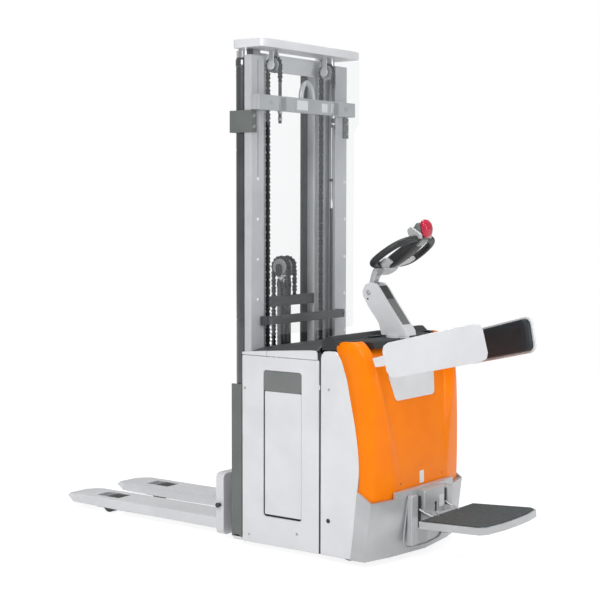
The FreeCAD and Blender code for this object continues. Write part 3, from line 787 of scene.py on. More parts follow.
# orange motor cover
# height, then x at the seam, the corner and the lobe's inner edge, that edge's y, x in the middle
COVER = np.array([
    (290, 206, 268, 296, 228, 296),
    (430, 215, 271, 295, 234, 291),
    (600, 197, 270, 290, 262, 272),
    (760, 163, 264, 284, 305, 250),
    (842, 146, 255, 275, 322, 231),
    (930, 106, 238, 250, 326, 204),
    (972, 89, 212, 218, 321, 182),
    (992, 98, 186, 190, 316, 168),
    (1001, 114, 164, 168, 312, 158),
], float)


def eased_corner(before, corner, after, reach, steps):
    """A corner, row by row, replaced by a quadratic arc that starts and ends reach away from it."""
    back = before - corner
    ahead = after - corner
    start = corner + back / np.linalg.norm(back, axis=1)[:, None] * reach
    end = corner + ahead / np.linalg.norm(ahead, axis=1)[:, None] * reach
    t = np.linspace(0.0, 1.0, steps)[None, :, None]
    return (1 - t) ** 2 * start[:, None] + 2 * t * (1 - t) * corner[:, None] + t ** 2 * end[:, None]


def motor_cover():
    """Rows by height through the table, columns by outline: side, corner, lobe, step, bowed middle."""
    rows = through(COVER, 90)
    z, x_side, x_corner, x_lobe, y_lobe, x_mid = rows.T
    shoulder = 14.0 * np.clip((z - 930.0) / 73.0, 0, 1) ** 2
    side = np.stack([x_side, shoulder - HALF + 1.0, z], axis=1)
    corner = np.stack([x_corner, shoulder - HALF + 24.0, z], axis=1)
    lobe = np.stack([x_lobe, -y_lobe, z], axis=1)
    step = np.stack([x_mid + 1.0, 34.0 - y_lobe, z], axis=1)
    middle = np.stack([x_mid, 0.0 * z, z], axis=1)
    inner = np.linspace(0.0, 1.0, 9)[None, 1:, None]
    after_step = step[:, None] + (middle - step)[:, None] * inner
    half = np.concatenate(
        [
            side[:, None],
            eased_corner(side, corner, lobe, 22.0, 7),
            eased_corner(corner, lobe, step, 13.0, 6),
            eased_corner(lobe, step, middle, 12.0, 5),
            after_step[:, 1:],
        ],
        axis=1,
    )
    drop = 26.0 * np.clip((300.0 - np.abs(half[:, :, 1])) / 24.0, 0, 1)
    half[:, :, 2] -= drop * np.clip((half[:, :, 2] - 940.0) / 50.0, 0, 1)
    other = half[:, -2::-1] * (1.0, -1.0, 1.0)
    return surface(np.concatenate([half, other], axis=1))


piece(
    "motor_cover_shell",
    "truck",
    motor_cover(),
    orange_abs,
    wall=4.0,
    stands_for=("motor_cover",),
)

# small fixings


def button_head(radius, axis, sign=1.0):
    """A domed screw head with a socket in it, standing out along an axis."""
    profile = [(radius, 0.0), (radius, 0.9), (radius * 0.8, 2.2), (radius * 0.5, 2.6), (radius * 0.42, 0.9)]
    return lathe([(r, sign * h) for r, h in profile], (0, 0, 0), axis, 20)


def dome(radius, height, axis, sign=1.0):
    """A rivet's dome: radius = r cos t, height = h sin t."""
    t = np.linspace(0.0, 1.45, 6)
    return lathe(np.stack([radius * np.cos(t), sign * height * np.sin(t)], axis=1), (0, 0, 0), axis, 16)


cover_screws = [(-430, -HALF, 755), (-405, -HALF, 66), (-126, -HALF, 104), (51, -HALF, 783)]
heads = many(button_head(6.5, "y", -1.0), cover_screws)
piece("cover_screws", "truck", both(heads, mirrored(heads, -1)), zinc)
# the jacking hole as a black ring and disc on the side: painted shade of the hole
side_hole = lathe([(10.5, -1.2), (10.5, 0.2), (8.0, 0.2), (8.0, -0.4)], (49, -HALF, 189), "y", 28)
piece("jacking_hole", "truck", side_hole, black_abs)
piece("skirt_bolt", "truck", moved(button_head(12.0, "y", -1.0), (206, -HALF, 108)), zinc)

# badge plate without words, small pale label, two cover screws
BADGE = [(-196, 846), (196, 846), (186, 800), (168, 734), (152, 724), (-152, 724), (-168, 734), (-186, 800)]


def cover_x(z):
    """The orange cover's middle surface at height z."""
    return np.interp(z, COVER[:, 0], COVER[:, 5])


def badge():
    """A thin plate that lies on the cover's sloping middle: x = cover_x(z) + 3."""
    outline = np.array(rounded(BADGE, 12.0, 5))
    levels = []
    for lift in (0.4, 5.0):
        levels.append(np.stack([cover_x(outline[:, 1]) + lift, outline[:, 0], outline[:, 1]], axis=1))
    return closed_loft(levels)


piece("badge_plate", "truck", badge(), plate_film, edge=1.0)
label_x = cover_x(358.0)
pale_label = slab(
    rounded([(-16, 331), (20, 331), (20, 388), (-16, 388)], 2.0, 3), "x", label_x - 1.0, label_x + 1.5
)
piece("pale_label", "truck", pale_label, plate_film)
lower_screws = many(button_head(6.0, "x"), [(cover_x(352.0) - 0.5, y, 352.0) for y in (-178, 178)])
piece("lower_cover_screws", "truck", lower_screws, black_abs)

# skirt: raised rim round the rear recess, hinge bracket with a keyhole and its blank label
RIM = [(-168, 284), (-168, 96), (-152, 62), (-110, 52), (110, 52), (152, 62), (168, 96), (168, 284)]


def skirt_x(y, z):
    """The skirt's leaning rear face, bowed in plan, at y and height z."""
    bow = np.interp(np.abs(y), (0.0, 248.0, HALF), (318.0, 286.0, 247.0))
    return bow + 32.0 * (z - GROUND_GAP) / (293.0 - GROUND_GAP)


rim_line = through(RIM, 60)
rim_path = np.stack([skirt_x(rim_line[:, 0], rim_line[:, 1]) + 1.0, rim_line[:, 0], rim_line[:, 1]], axis=1)
piece("recess_rim", "truck", tube(rim_path, 5.5, 10, up=(1.0, 0.0, 0.0)), silver_paint)
bracket_face = slab(rounded([(-88, 150), (88, 150), (88, 316), (-88, 316)], 14.0, 5), "x", 356.0, 367.0)
piece("hinge_bracket", "truck", bracket_face, silver_paint, edge=6.0)
# the keyhole as a black disc and slot on the bracket: painted shade of the hole
keyhole = both(
    lathe([(8.5, 0.0), (8.5, 1.2), (0.5, 1.2)], (367.0, 8.0, 244.0), "x", 20),
    slab([(1, 206), (15, 206), (13, 240), (3, 240)], "x", 367.0, 368.2),
)
piece("keyhole", "truck", keyhole, black_abs)
bracket_label = slab(rounded([(40, 222), (78, 222), (78, 276), (40, 276)], 2.0, 3), "x", 367.0, 368.2)
piece("bracket_label", "truck", bracket_label, plate_film)
cheeks = []
bracket_gap_shades = []
for _, sign in SIDES:
    cheek_outline = rounded(rectangle(128, 181, 76, 304), 10.0, 5)
    cheeks.append(mirrored(slab(cheek_outline, "x", 330.0, 358.0), sign))
    bracket_gap_shades.append(mirrored(block(338.0, 352.0, 98.0, 130.0, 150.0, 292.0), sign))
piece("skirt_cheeks", "truck", both(*cheeks), silver_paint, edge=6.0)
# black blocks in the gaps beside the hinge bracket: painted shade
piece("bracket_gap_shade", "truck", both(*bracket_gap_shades), black_abs)
stay_links = [tube([(352, y, 232), (386, y, 218), (430, y, 206)], 6.0, 12) for y in (-114.0, 114.0)]
piece("platform_stays", "truck", both(*stay_links), zinc)

# dash: display under glass, key switch, bead along its rear edge
display = slab(rounded([(22, -128), (96, -128), (104, -34), (30, -34)], 6.0, 4), "z", 1004.0, 1006.0)
piece("display_frame", "truck", display, black_abs, edge=1.0)
glass = slab(rounded([(30, -120), (88, -120), (95, -44), (38, -44)], 4.0, 4), "z", 1005.0, 1007.0)
piece("display", "truck", glass, display_glass, edge=0.8)
key_switch = lathe([(13, 0), (13, 5), (9, 7), (9, 3), (3, 3)], (60.0, 120.0, 1003.0), "z", 28)
piece("key_switch", "truck", key_switch, zinc)
dash_bead = [
    (10, -384, 966), (60, -382, 972), (92, -374, 986), (112, -350, 996), (150, -318, 998),
    (176, -282, 994), (192, -200, 992),
]
bead_line = through(dash_bead + [(x, -y, z) for x, y, z in dash_bead[::-1]], 120)
piece("dash_bead", "truck", tube(bead_line, 7.0, 12), black_abs)


# mast: cylinders, sheaves, link chains, rivets, signs
CHAIN_Y = 215.0
CHAIN_FRONT_X = -436.0
CHAIN_REAR_X = -364.0
SHEAVE_X = (CHAIN_FRONT_X + CHAIN_REAR_X) / 2.0
SHEAVE_R = (CHAIN_REAR_X - CHAIN_FRONT_X) / 2.0
FREE_X = -502.0
PITCH = math.pi * SHEAVE_R / 6.0


def link_plate():
    """A figure-eight plate, pitch long: half width = 6.6 - 1.9 cos(2 pi z / pitch), ends rounded."""
    z = np.linspace(-1.0, 1.0, 9) * (PITCH / 2.0 + 5.5)
    waist = 6.6 - 1.9 * np.cos(np.clip(z / PITCH * 2.0 * np.pi, -np.pi, np.pi))
    half = np.where(np.abs(z) > PITCH / 2.0 + 3.0, 4.0, waist)
    outline = np.concatenate([np.stack([half, z], axis=1), np.stack([-half, z], axis=1)[::-1]])
    return slab(outline, "y", -1.5, 1.5)


def leaf_chain(places, tilts):
    """Link plates on pins, each turned about Y by its tilt, inner and outer plates by turns."""
    plate = link_plate()
    pin = lathe([(2.6, -10.5), (2.6, 10.5)], (0, 0, PITCH / 2.0), "y", 8)
    shapes = []
    for i, (place, tilt) in enumerate(zip(places, tilts)):
        offsets = (-8.0, 0.0, 8.0) if i % 2 else (-4.4, 4.4)
        stack = both(*[moved(plate, (0, offset, 0)) for offset in offsets], pin)
        shapes.append(moved(turned(stack, tilt, "y"), place))
    return both(*shapes)


def straight(x, y, low, high, pitch):
    """Link centres up a vertical line, with no tilt."""
    z = np.arange(low + pitch / 2.0, high, pitch)
    return np.stack([np.full(len(z), x), np.full(len(z), y), z], axis=1), np.zeros(len(z))


def over_wheel(x, y, z, radius, count):
    """Link centres over the top of a wheel, from its rear side to its front side, each along the tangent."""
    a = (np.arange(count) + 0.5) * np.pi / count
    places = np.stack([x + radius * np.cos(a), np.full(count, y), z + radius * np.sin(a)], axis=1)
    return places, -np.degrees(a)


LIFT_STRAND_FOOT = 150.0
front_strands = [
    leaf_chain(*straight(CHAIN_FRONT_X, y, LIFT_STRAND_FOOT, SHEAVE_Z, PITCH))
    for y in (-CHAIN_Y, CHAIN_Y)
]
lift_strand = piece(
    "lift_chain_front",
    "middle_mast",
    both(*front_strands),
    chain_steel,
    stands_for=("lift_chains",),
)
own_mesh(lift_strand)
bends = []
for y in (-CHAIN_Y, CHAIN_Y):
    bends.append(leaf_chain(*over_wheel(SHEAVE_X, y, SHEAVE_Z, SHEAVE_R, 6)))
    bends.append(leaf_chain(*straight(CHAIN_REAR_X, y, SHEAVE_Z - 4.0 * PITCH, SHEAVE_Z, PITCH)))
piece("lift_chain_bend", "middle_mast", both(*bends), chain_steel)

low_ties = both(
    block(-470, -460, -194, 194, 90, 170),
    block(-538, -470, -60, 60, 90, 106),
    block(-470, -460, -194, 194, 1120, 1170),
)
piece(
    "inner_low_ties",
    "inner_mast",
    low_ties,
    dark_paint,
    edge=1.5,
    stands_for=("inner_ties",),
)
INNER_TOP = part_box("inner_rails")[1].z * 1000.0
top_tie = block(-470, -460, -194, 194, INNER_TOP - 82.0, INNER_TOP)
piece("inner_top_tie", "inner_mast", top_tie, light_paint, edge=1.5)

FREE_R = 46.0
FREE_FOOT = 524.0
free_front = [leaf_chain(*straight(FREE_X - FREE_R, y, FREE_FOOT, PULLEY_Z, PITCH)) for y in (-24, 24)]
free_strand = piece("free_chain_front", "free_lift", both(*free_front), chain_steel)
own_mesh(free_strand)
free_rest = []
for y in (-24, 24):
    free_rest.append(leaf_chain(*over_wheel(FREE_X, y, PULLEY_Z, FREE_R, 8)))
    free_rest.append(leaf_chain(*straight(FREE_X + FREE_R, y, PULLEY_Z - 7.0 * PITCH, PULLEY_Z, PITCH)))
piece("free_chain_bend", "free_lift", both(*free_rest), chain_steel)
anchor_bar = slab(rounded([(-580, -184), (-543, -184), (-543, 184), (-580, 184)], 4.0, 3), "z", 484.0, 508.0)
clevises = [block(FREE_X - FREE_R - 7, FREE_X - FREE_R + 7, y - 9, y + 9, 506.0, 515.0) for y in (-24, 24)]
anchor_bar = both(anchor_bar, *clevises)
piece("chain_anchor_bar", "carriage", anchor_bar, dark_paint, edge=2.0)

GROOVE = [
    (12, -15), (39, -15), (40.5, -13), (40, -11), (37, -9),
    (37, 9), (40, 11), (40.5, 13), (39, 15), (12, 15),
]
pulleys = [lathe(GROOVE, (FREE_X, y, PULLEY_Z), "y", 40) for y in (-24, 24)]
piece(
    "free_pulleys",
    "free_lift",
    both(*pulleys),
    rail_paint,
    stands_for=("free_lift_pulleys",),
)
pulley_cheeks = []
for y in (-45, 45):
    cheek = rounded(rectangle(FREE_X - 17, FREE_X + 17, PULLEY_Z - 46, PULLEY_Z + 16), 15, 6)
    pulley_cheeks.append(slab(cheek, "y", y - 2.5, y + 2.5))
    for z in (PULLEY_Z - 12.0, PULLEY_Z + 8.0):
        pulley_cheeks.append(moved(dome(4.0, 3.0, "y", np.sign(y)), (FREE_X, y + 2.5 * np.sign(y), z)))
piece("pulley_cheeks", "free_lift", both(*pulley_cheeks), dark_paint, edge=1.0)

sheave_profile = [
    (12, -12), (33, -12), (35, -10.5), (34, -9), (29, -7),
    (29, 7), (34, 9), (35, 10.5), (33, 12), (12, 12),
]
sheaves, sheave_frames = [], []
for y in (-CHAIN_Y, CHAIN_Y):
    sheaves.append(lathe(sheave_profile, (SHEAVE_X, y, SHEAVE_Z), "y", 40))
    for side_y in (y - 20.0, y + 20.0):
        hanger = rounded(rectangle(SHEAVE_X - 12, SHEAVE_X + 12, SHEAVE_Z - 13, CROSSHEAD_Z), 11, 5)
        sheave_frames.append(slab(hanger, "y", side_y - 4.0, side_y + 4.0))
        out = -1.0 if side_y < y else 1.0
        cap = [(22, 0), (22, out * 3), (19, out * 5), (8, out * 5), (8, out * 3)]
        sheave_frames.append(lathe(cap, (SHEAVE_X, side_y + out * 4.0, SHEAVE_Z), "y", 24))
piece("sheaves", "middle_mast", both(*sheaves), zinc, stands_for=("chain_sheaves",))
piece("sheave_hangers", "middle_mast", both(*sheave_frames), light_paint, edge=1.5)

# lift cylinders: outer tube with grooves and a gland ring, hollow down to its foot
CYL_X = -477.0
CYL_Y = 350.0
tube_profile = [
    (22.5, 62.0), (33.0, 60.0), (33.0, 1067.0), (31.8, 1068.0), (31.8, 1072.0), (33.0, 1073.0),
    (33.0, 1861.0),
]
tube_profile += [
    (31.8, 1862.0), (31.8, 1866.0), (33.0, 1867.0), (33.0, BARREL_TOP - 42.0), (35.0, BARREL_TOP - 40.0)
]
tube_profile += [
    (35.0, BARREL_TOP - 12.0), (33.5, BARREL_TOP - 9.0), (31.0, BARREL_TOP), (22.5, BARREL_TOP),
    (22.5, 700.0),
]
cylinders = [lathe(tube_profile, (CYL_X, y, 0), "z", 56) for y in (-CYL_Y, CYL_Y)]
piece(
    "lift_cylinders",
    "truck",
    both(*cylinders),
    black_gloss_painted_sheen,
    stands_for=("lift_barrels",),
)
free_profile = [
    (25.0, 108.0), (34.0, 106.0), (34.0, FREE_TOP - 34.0), (36.0, FREE_TOP - 32.0), (36.0, FREE_TOP - 8.0)
]
free_profile += [(33.0, FREE_TOP), (25.0, FREE_TOP), (25.0, 500.0)]
free_tube = lathe(free_profile, (FREE_X, 0, 0), "z", 48)
piece(
    "free_cylinder",
    "inner_mast",
    free_tube,
    black_gloss_painted_sheen,
    stands_for=("free_lift_barrel",),
)

# rivets on the columns, bolts and anchor blocks, return pipe and hose, blank signs on the crossbar
near_rivets = [(-400.0, -337.0, z) for z in (1165, 1353, 1541, 1729)]
far_rivets = [(-400.0, 372.0, z) for z in (973, 1161, 1349, 1537, 1724)]
piece(
    "column_rivets",
    "truck",
    many(dome(8.0, 4.0, "x"), near_rivets + far_rivets),
    plate_film,
)
column_seam = slab(
    [(-338.0, 1740.0), (-336.0, 1740.0), (-336.0, COLUMN_TOP - 20.0), (-338.0, COLUMN_TOP - 20.0)],
    "x",
    -400.2,
    -399.4,
)
piece("column_seam", "truck", column_seam, dark_paint)
clamp_bolts = many(hex_head(15.0, 8.0, "x"), [(-394.0, y, z) for y in (-378, 378) for z in (1971, 2020)])
piece("clamp_bolts", "truck", clamp_bolts, zinc)
crosshead_bolts = many(hex_head(13.0, 7.0, "y", -1.0), [(-540.0, -312.0, z) for z in (2235.0, 2210.0)])
piece("rail_bolts", "middle_mast", crosshead_bolts, zinc)
bar = [block(-375, -351, -392, 392, CROSSBAR_Z, CROSSBAR_Z + 70.0)]
for sign in (-1, 1):
    bar.append(mirrored(block(-400, -374, 300, 392, CROSSBAR_Z, CROSSBAR_Z + 70.0), sign))
piece(
    "upper_crossbar",
    "truck",
    both(*bar),
    silver_paint,
    edge=2.5,
    stands_for=("crossbar_upper",),
)
EYE = [(-48, 58), (-47, 84), (-40, 112), (-24, 136), (0, 147), (24, 136), (40, 112), (47, 84), (48, 58)]
eye_line = through(EYE, 48)
eye_path = np.stack([np.full(48, -365.0), eye_line[:, 0], eye_line[:, 1] + CROSSBAR_Z], axis=1)
piece("lifting_eye", "truck", tube(eye_path, 12.5, 16, up=(1.0, 0.0, 0.0)), silver_paint)
chain_rods = both(
    lathe([(8, CROSSBAR_Z - 57.0), (8, SHEAVE_Z - 82.0)], (CHAIN_REAR_X, -CHAIN_Y, 0), "z", 20),
    lathe([(8, CROSSBAR_Z - 57.0), (8, SHEAVE_Z - 82.0)], (CHAIN_REAR_X, CHAIN_Y, 0), "z", 20),
)
piece("chain_rods", "truck", chain_rods, chain_steel)
anchor_blocks = []
for y in (-CHAIN_Y, CHAIN_Y):
    plate_outline = rounded(rectangle(y - 22, y + 22, CROSSBAR_Z + 4, CROSSBAR_Z + 62), 4, 3)
    anchor_blocks.append(slab(plate_outline, "x", -351.5, -345.0))
    anchor_blocks.append(moved(hex_head(20.0, 12.0, "z", -1.0), (CHAIN_REAR_X, y, CROSSBAR_Z)))
    anchor_blocks.append(moved(hex_head(18.0, 11.0, "z", -1.0), (CHAIN_REAR_X, y, CROSSBAR_Z - 34.0)))
piece("chain_anchors", "truck", both(*anchor_blocks), zinc, edge=1.0)
SIGNS = ((-98, -12, 58, 12), (104, 150, 54, 12), (184, 226, 54, 12))
signs = []
for y0, y1, high, low in SIGNS:
    sign_outline = rounded(rectangle(y0, y1, CROSSBAR_Z + low, CROSSBAR_Z + high), 3, 3)
    signs.append(slab(sign_outline, "x", -351.5, -350.0))
piece("blank_signs", "truck", both(*signs), plate_film)
PIPE = (-420.0, 281.0)
pipe = lathe([(6, 1640), (6, 2208), (4, 2210)], (*PIPE, 0), "z", 20)
pipe_joints = both(
    lathe([(9, 1593), (9, 1640), (6.5, 1644)], (*PIPE, 0), "z", 6),
    lathe([(9, 2196), (9, 2222), (6.5, 2224)], (*PIPE, 0), "z", 6),
)
piece("return_pipe", "truck", both(pipe, pipe_joints), zinc)
piece("pipe_clip", "truck", lathe([(9, 1726), (9, 1740)], (*PIPE, 0), "z", 20), black_abs)
piece("hose", "truck", lathe([(7, 620), (7, 1593)], (*PIPE, 0), "z", 20), black_abs)
foot_block = slab(rounded(rectangle(-508, -449, 322, 399), 12, 5), "z", 31.0, 59.0)
foot_blocks = [mirrored(foot_block, sign) for _, sign in SIDES]
piece("mast_foot_blocks", "truck", both(*foot_blocks), light_paint, edge=5.0)
heel_bolts = both(
    lathe([(9, 372), (9, 385), (12, 386), (12, 393), (10, 395), (4, 395)], (-604, 0, 176), "y", 24),
    lathe([(9, -372), (9, -385), (12, -386), (12, -393), (10, -395), (4, -395)], (-604, 0, 176), "y", 24),
)
piece("heel_bolts", "carriage", heel_bolts, chain_steel)


# side guards: crowned pads on their plates
GUARD_PLACE = (319.0, -350.0, 927.0)
GUARD_RISE = 13.0
GUARD_TOE = 17.4


def in_guard(shape, sign):
    """From the arm's own frame, x along it and z up, to the near or the far side."""
    leaned = turned(shape, -GUARD_RISE, "y")
    toed = turned(leaned, GUARD_TOE, "z")
    return mirrored(moved(toed, GUARD_PLACE), -sign)


def crowned_pad():
    """The pad's outline drawn in and raised ring by ring to a soft crown."""
    outline = np.array(rounded([(86, -71), (446, -74), (446, 74), (86, 67)], 30.0, 9))
    centre = outline.mean(axis=0)
    rings = []
    for share, high in (
        (1.0, -4.0), (1.0, 12.0), (0.99, 18.0), (0.965, 22.0), (0.92, 24.5), (0.8, 26.5), (0.5, 28.0),
        (0.12, 28.5),
    ):
        p = centre + (outline - centre) * share
        rings.append(np.stack([p[:, 0], np.full(len(p), high), p[:, 1]], axis=1))
    return closed_loft(rings)


pad_screws = many(
    lathe([(7, 0), (7, 1.6), (4, 1.6), (4, 0.4)], (0, 26.4, 0), "y", 20), [(128, 0, -40), (392, 0, 30)]
)
for label, sign in SIDES:
    pad = piece(
        "guard_pad_crowned_" + label,
        "guard_" + label,
        in_guard(crowned_pad(), sign),
        pad_foam,
        stands_for=("guard_pad_" + label,),
    )
    piece("pad_screws_" + label, "guard_" + label, in_guard(pad_screws, sign), black_abs)


# tiller: pivot cap, dark insert on the foot, and the head in its own sloping frame
HEAD_PLACE = (95.0, 0.0, 1322.0)
HEAD_SLOPE = 35.0
PIVOT = (25.0, 1201.0)
pivot_cap = lathe(
    [(10, 0), (10, -1.5), (8.6, -2.2), (7.6, -1.2), (7.0, -1.2), (4.0, -2.4)],
    (PIVOT[0], -44.0, PIVOT[1]),
    "y",
    28,
)
piece("pivot_cap", "tiller_foot", both(pivot_cap, mirrored(pivot_cap, -1)), silver_paint)
# the small hole in the foot as a black disc: painted shade of the hole
foot_hole = lathe([(4.6, 0.1), (4.6, -0.4), (0.5, -0.4)], (21.0, -44.0, 1172.0), "y", 16)
piece("foot_hole", "tiller_foot", foot_hole, black_abs)
insert_line = through([(75, 1233), (85, 1222), (101, 1199), (141, 1145), (174, 1102), (206, 1059)], 31)
slope = np.gradient(insert_line, axis=0)
outward = np.stack([-slope[:, 1], slope[:, 0]], axis=1) / np.linalg.norm(slope, axis=1)[:, None]
insert_rows = []
for side_y, lift in ((-31, -1.0), (-31, 1.6), (31, 1.6), (31, -1.0)):
    at = insert_line + outward * lift
    insert_rows.append(np.stack([at[:, 0], np.full(31, float(side_y)), at[:, 1]], axis=1))
insert_rows = np.array(insert_rows).transpose(1, 0, 2)
piece("foot_insert", "tiller_foot", closed_loft(insert_rows[15:]), window_plastic, edge=0.8)
piece("foot_insert_top", "tiller_foot", closed_loft(insert_rows[:16]), dark_paint, edge=0.8)


def in_head(shape):
    """From the head's own frame, x up its slope, to its place above the neck."""
    return moved(turned(shape, -HEAD_SLOPE, "y"), HEAD_PLACE)


GRIP = [
    (14, 0), (16, -62), (22, -120), (46, -160), (92, -170), (140, -165), (184, -146), (212, -112),
    (227, -62), (230, 0),
]


def grip_loops():
    """One closed line round both hand openings, an oval section up to 37 by 31 mm along it."""
    half = GRIP[1:-1]
    line = [GRIP[0]] + half + [GRIP[-1]] + [(u, -v) for u, v in half[::-1]]
    flat = through(line, 96, closed=True)
    path = np.stack([flat[:, 0], flat[:, 1], np.full(len(flat), 3.0)], axis=1)
    wide = 18.5 - 3.5 * np.exp(-((flat[:, 1]) / 40.0) ** 2)
    a = np.arange(16) * 2.0 * np.pi / 16
    tangent = np.roll(path, -1, axis=0) - np.roll(path, 1, axis=0)
    tangent /= np.linalg.norm(tangent, axis=1)[:, None]
    side = np.cross(tangent, (0.0, 0.0, 1.0))
    up = np.broadcast_to(np.array((0.0, 0.0, 0.85)), side.shape)
    rings = path[:, None] + wide[:, None, None] * (
        np.cos(a)[None, :, None] * side[:, None] + np.sin(a)[None, :, None] * up[:, None]
    )
    return surface(rings, ring_rows=True, ring_cols=True)


def head_core():
    """The body between the openings: oval rings up the slope, (u, half width, half height, middle height)."""
    table = through(
        [
            (-12, 12, 8, 6), (6, 27, 17, 3), (46, 47, 26, 0), (110, 55, 27, -2), (170, 53, 25, -2),
            (212, 40, 20, -2), (234, 24, 12, -2),
        ],
        30,
    )
    a = np.arange(28) * 2.0 * np.pi / 28
    ca = np.sign(np.cos(a)) * np.abs(np.cos(a)) ** 0.8
    sa = np.sign(np.sin(a)) * np.abs(np.sin(a)) ** 0.8
    rings = [np.stack([np.full(28, u), b * ca, m + c * sa], axis=1) for u, b, c, m in table]
    return closed_loft(rings)


NECK = [
    (14, 1222, 20, 13), (26, 1250, 21, 15), (38, 1282, 22, 18), (58, 1312, 28, 20), (84, 1328, 36, 14),
    (104, 1340, 34, 8),
]


def neck():
    """Rounded sections up the neck: (x, z, half width, half depth), each square to the curve through them."""
    table = through(NECK, 24)
    along = np.gradient(table[:, :2], axis=0)
    along /= np.linalg.norm(along, axis=1)[:, None]
    a = np.arange(28) * 2.0 * np.pi / 28
    ca = np.sign(np.cos(a)) * np.abs(np.cos(a)) ** 0.55
    sa = np.sign(np.sin(a)) * np.abs(np.sin(a)) ** 0.55
    rings = []
    for (x, z, wide, deep), (tx, tz) in zip(table, along):
        rings.append(np.stack([x + deep * sa * tz, wide * ca, z - deep * sa * tx], axis=1))
    return closed_loft(rings)


YOKE = [
    (-22, -26), (-8, -40), (18, -74), (42, -112), (58, -128), (80, -132), (92, -120), (90, -98),
    (74, -62), (72, -30),
]
yoke_line = through(YOKE + [(u, -v) for u, v in YOKE[::-1]], 96, closed=True)
yoke = in_head(slab(yoke_line, "z", -18.0, -2.0))
lower_pin = lathe([(12, -43), (12, 43)], (PIVOT[0], 0, PIVOT[1]), "y", 24)
barrel_boss = lathe([(27, -21), (30, -18), (30, 18), (27, 21)], (PIVOT[0], 0, PIVOT[1]), "y", 32)
piece(
    "tiller_neck",
    "tiller_head",
    neck(),
    silver_paint,
    smooth=50.0,
    stands_for=("tiller_head",),
)
collar = in_head(
    slab(
        rounded([(-36, -34), (-20, -58), (22, -62), (22, 62), (-20, 58), (-36, 34)], 12.0, 5),
        "z",
        -26.0,
        18.0,
    ),
)
piece("tiller_collar", "tiller_head", collar, silver_paint, edge=8.0)
piece("tiller_yoke", "tiller_head", yoke, silver_paint, edge=7.0)
piece("neck_boss", "tiller_head", both(lower_pin, barrel_boss), silver_paint, edge=1.0)
piece(
    "tiller_grips",
    "tiller_head",
    in_head(grip_loops()),
    black_abs,
    smooth=60.0,
    stands_for=("tiller_loops",),
)
piece("tiller_core", "tiller_head", in_head(head_core()), black_abs, smooth=60.0)
stalk_outline = rounded([(200, -24), (246, -18), (281, 58), (262, 66), (226, 52), (194, 14)], 9.0, 5)
piece(
    "button_housing",
    "tiller_head",
    in_head(slab(stalk_outline, "y", -31.0, 31.0)),
    window_plastic,
    edge=6.0,
)
button_outline = rounded([(251, -17), (275, -12), (296, 12), (305, 40), (300, 65), (281, 62)], 17.0, 8)
button_centre = np.mean(button_outline, axis=0)
button_rings = []
for share, across in ((0.45, -33.0), (0.72, -31.0), (0.9, -24.0), (0.985, -12.0), (1.0, 0.0)):
    for sign in (1.0, -1.0):
        p = button_centre + (np.array(button_outline) - button_centre) * share
        button_rings.append(np.stack([p[:, 0], np.full(len(p), across * sign), p[:, 1]], axis=1))
button_rings.sort(key=lambda ring: ring[0, 1])
button = closed_loft([button_rings[i] for i in (0, 1, 2, 3, 4, 6, 7, 8, 9)])
piece(
    "stop_button",
    "tiller_head",
    in_head(button),
    red_abs,
    smooth=60.0,
    stands_for=("tiller_button",),
)
paddle_outline = rounded(
    [(206, 34), (222, 14), (254, -18), (268, 4), (254, 36), (240, 64), (214, 62)], 13.0, 6
)
paddles = [slab(paddle_outline, "y", v * 33.0, v * 50.0) for v in (-1.0, 1.0)]
piece("thumb_wheels", "tiller_head", in_head(both(*paddles)), silver_paint, edge=6.0)


# wheels: polyurethane tyres on hubs
def wheel(radius, half, bore, centre, tread_depth):
    """A tyre's rounded section and a dished hub, turned about Y: two shapes."""
    tyre = [
        (radius - tread_depth, -half), (radius - 3.0, -half), (radius, -half + 4.0), (radius, half - 4.0),
        (radius - 3.0, half), (radius - tread_depth, half),
    ]
    dish = radius - tread_depth - 1.0
    hub = [
        (bore, -half - 1.0), (bore + 6.0, -half - 1.0), (bore + 9.0, -half + 6.0),
        (dish - 4.0, -half + 6.0), (dish, -half + 1.0),
    ]
    hub += [(r, -y) for r, y in hub[::-1]]
    return lathe(tyre, centre, "y", 56), lathe(hub, centre, "y", 40)


LOAD_X = -1480.0
LOAD_R = 42.5
for label, sign in SIDES:
    tyre, hub = wheel(LOAD_R, 43.0, 10.0, (LOAD_X, sign * 190.0, LOAD_R), 12.0)
    axle = lathe([(10, sign * 126), (10, sign * 254)], (LOAD_X, 0, LOAD_R), "y", 20)
    piece(
        "load_tyre_" + label,
        "load_wheel_" + label,
        tyre,
        tread,
        stands_for=("load_wheel_" + label,),
    )
    piece("load_hub_" + label, "load_wheel_" + label, both(hub, axle), zinc)
tyre, hub = wheel(115.0, 37.0, 24.5, (150.0, 110.0, 115.0), 22.0)
piece("drive_tyre", "drive_wheel", tyre, tread, stands_for=("drive_wheel",))
piece("drive_hub", "drive_wheel", hub, dark_paint)
twins = [wheel(70.0, 24.0, 12.5, (106.0, -256.0 + y, 70.0), 14.0) for y in (-38.0, 38.0)]
piece(
    "castor_tyres",
    "castor_wheels",
    both(*[pair[0] for pair in twins]),
    tread,
    stands_for=("castor_wheels",),
)
piece("castor_hubs", "castor_wheels", both(*[pair[1] for pair in twins]), dark_paint)

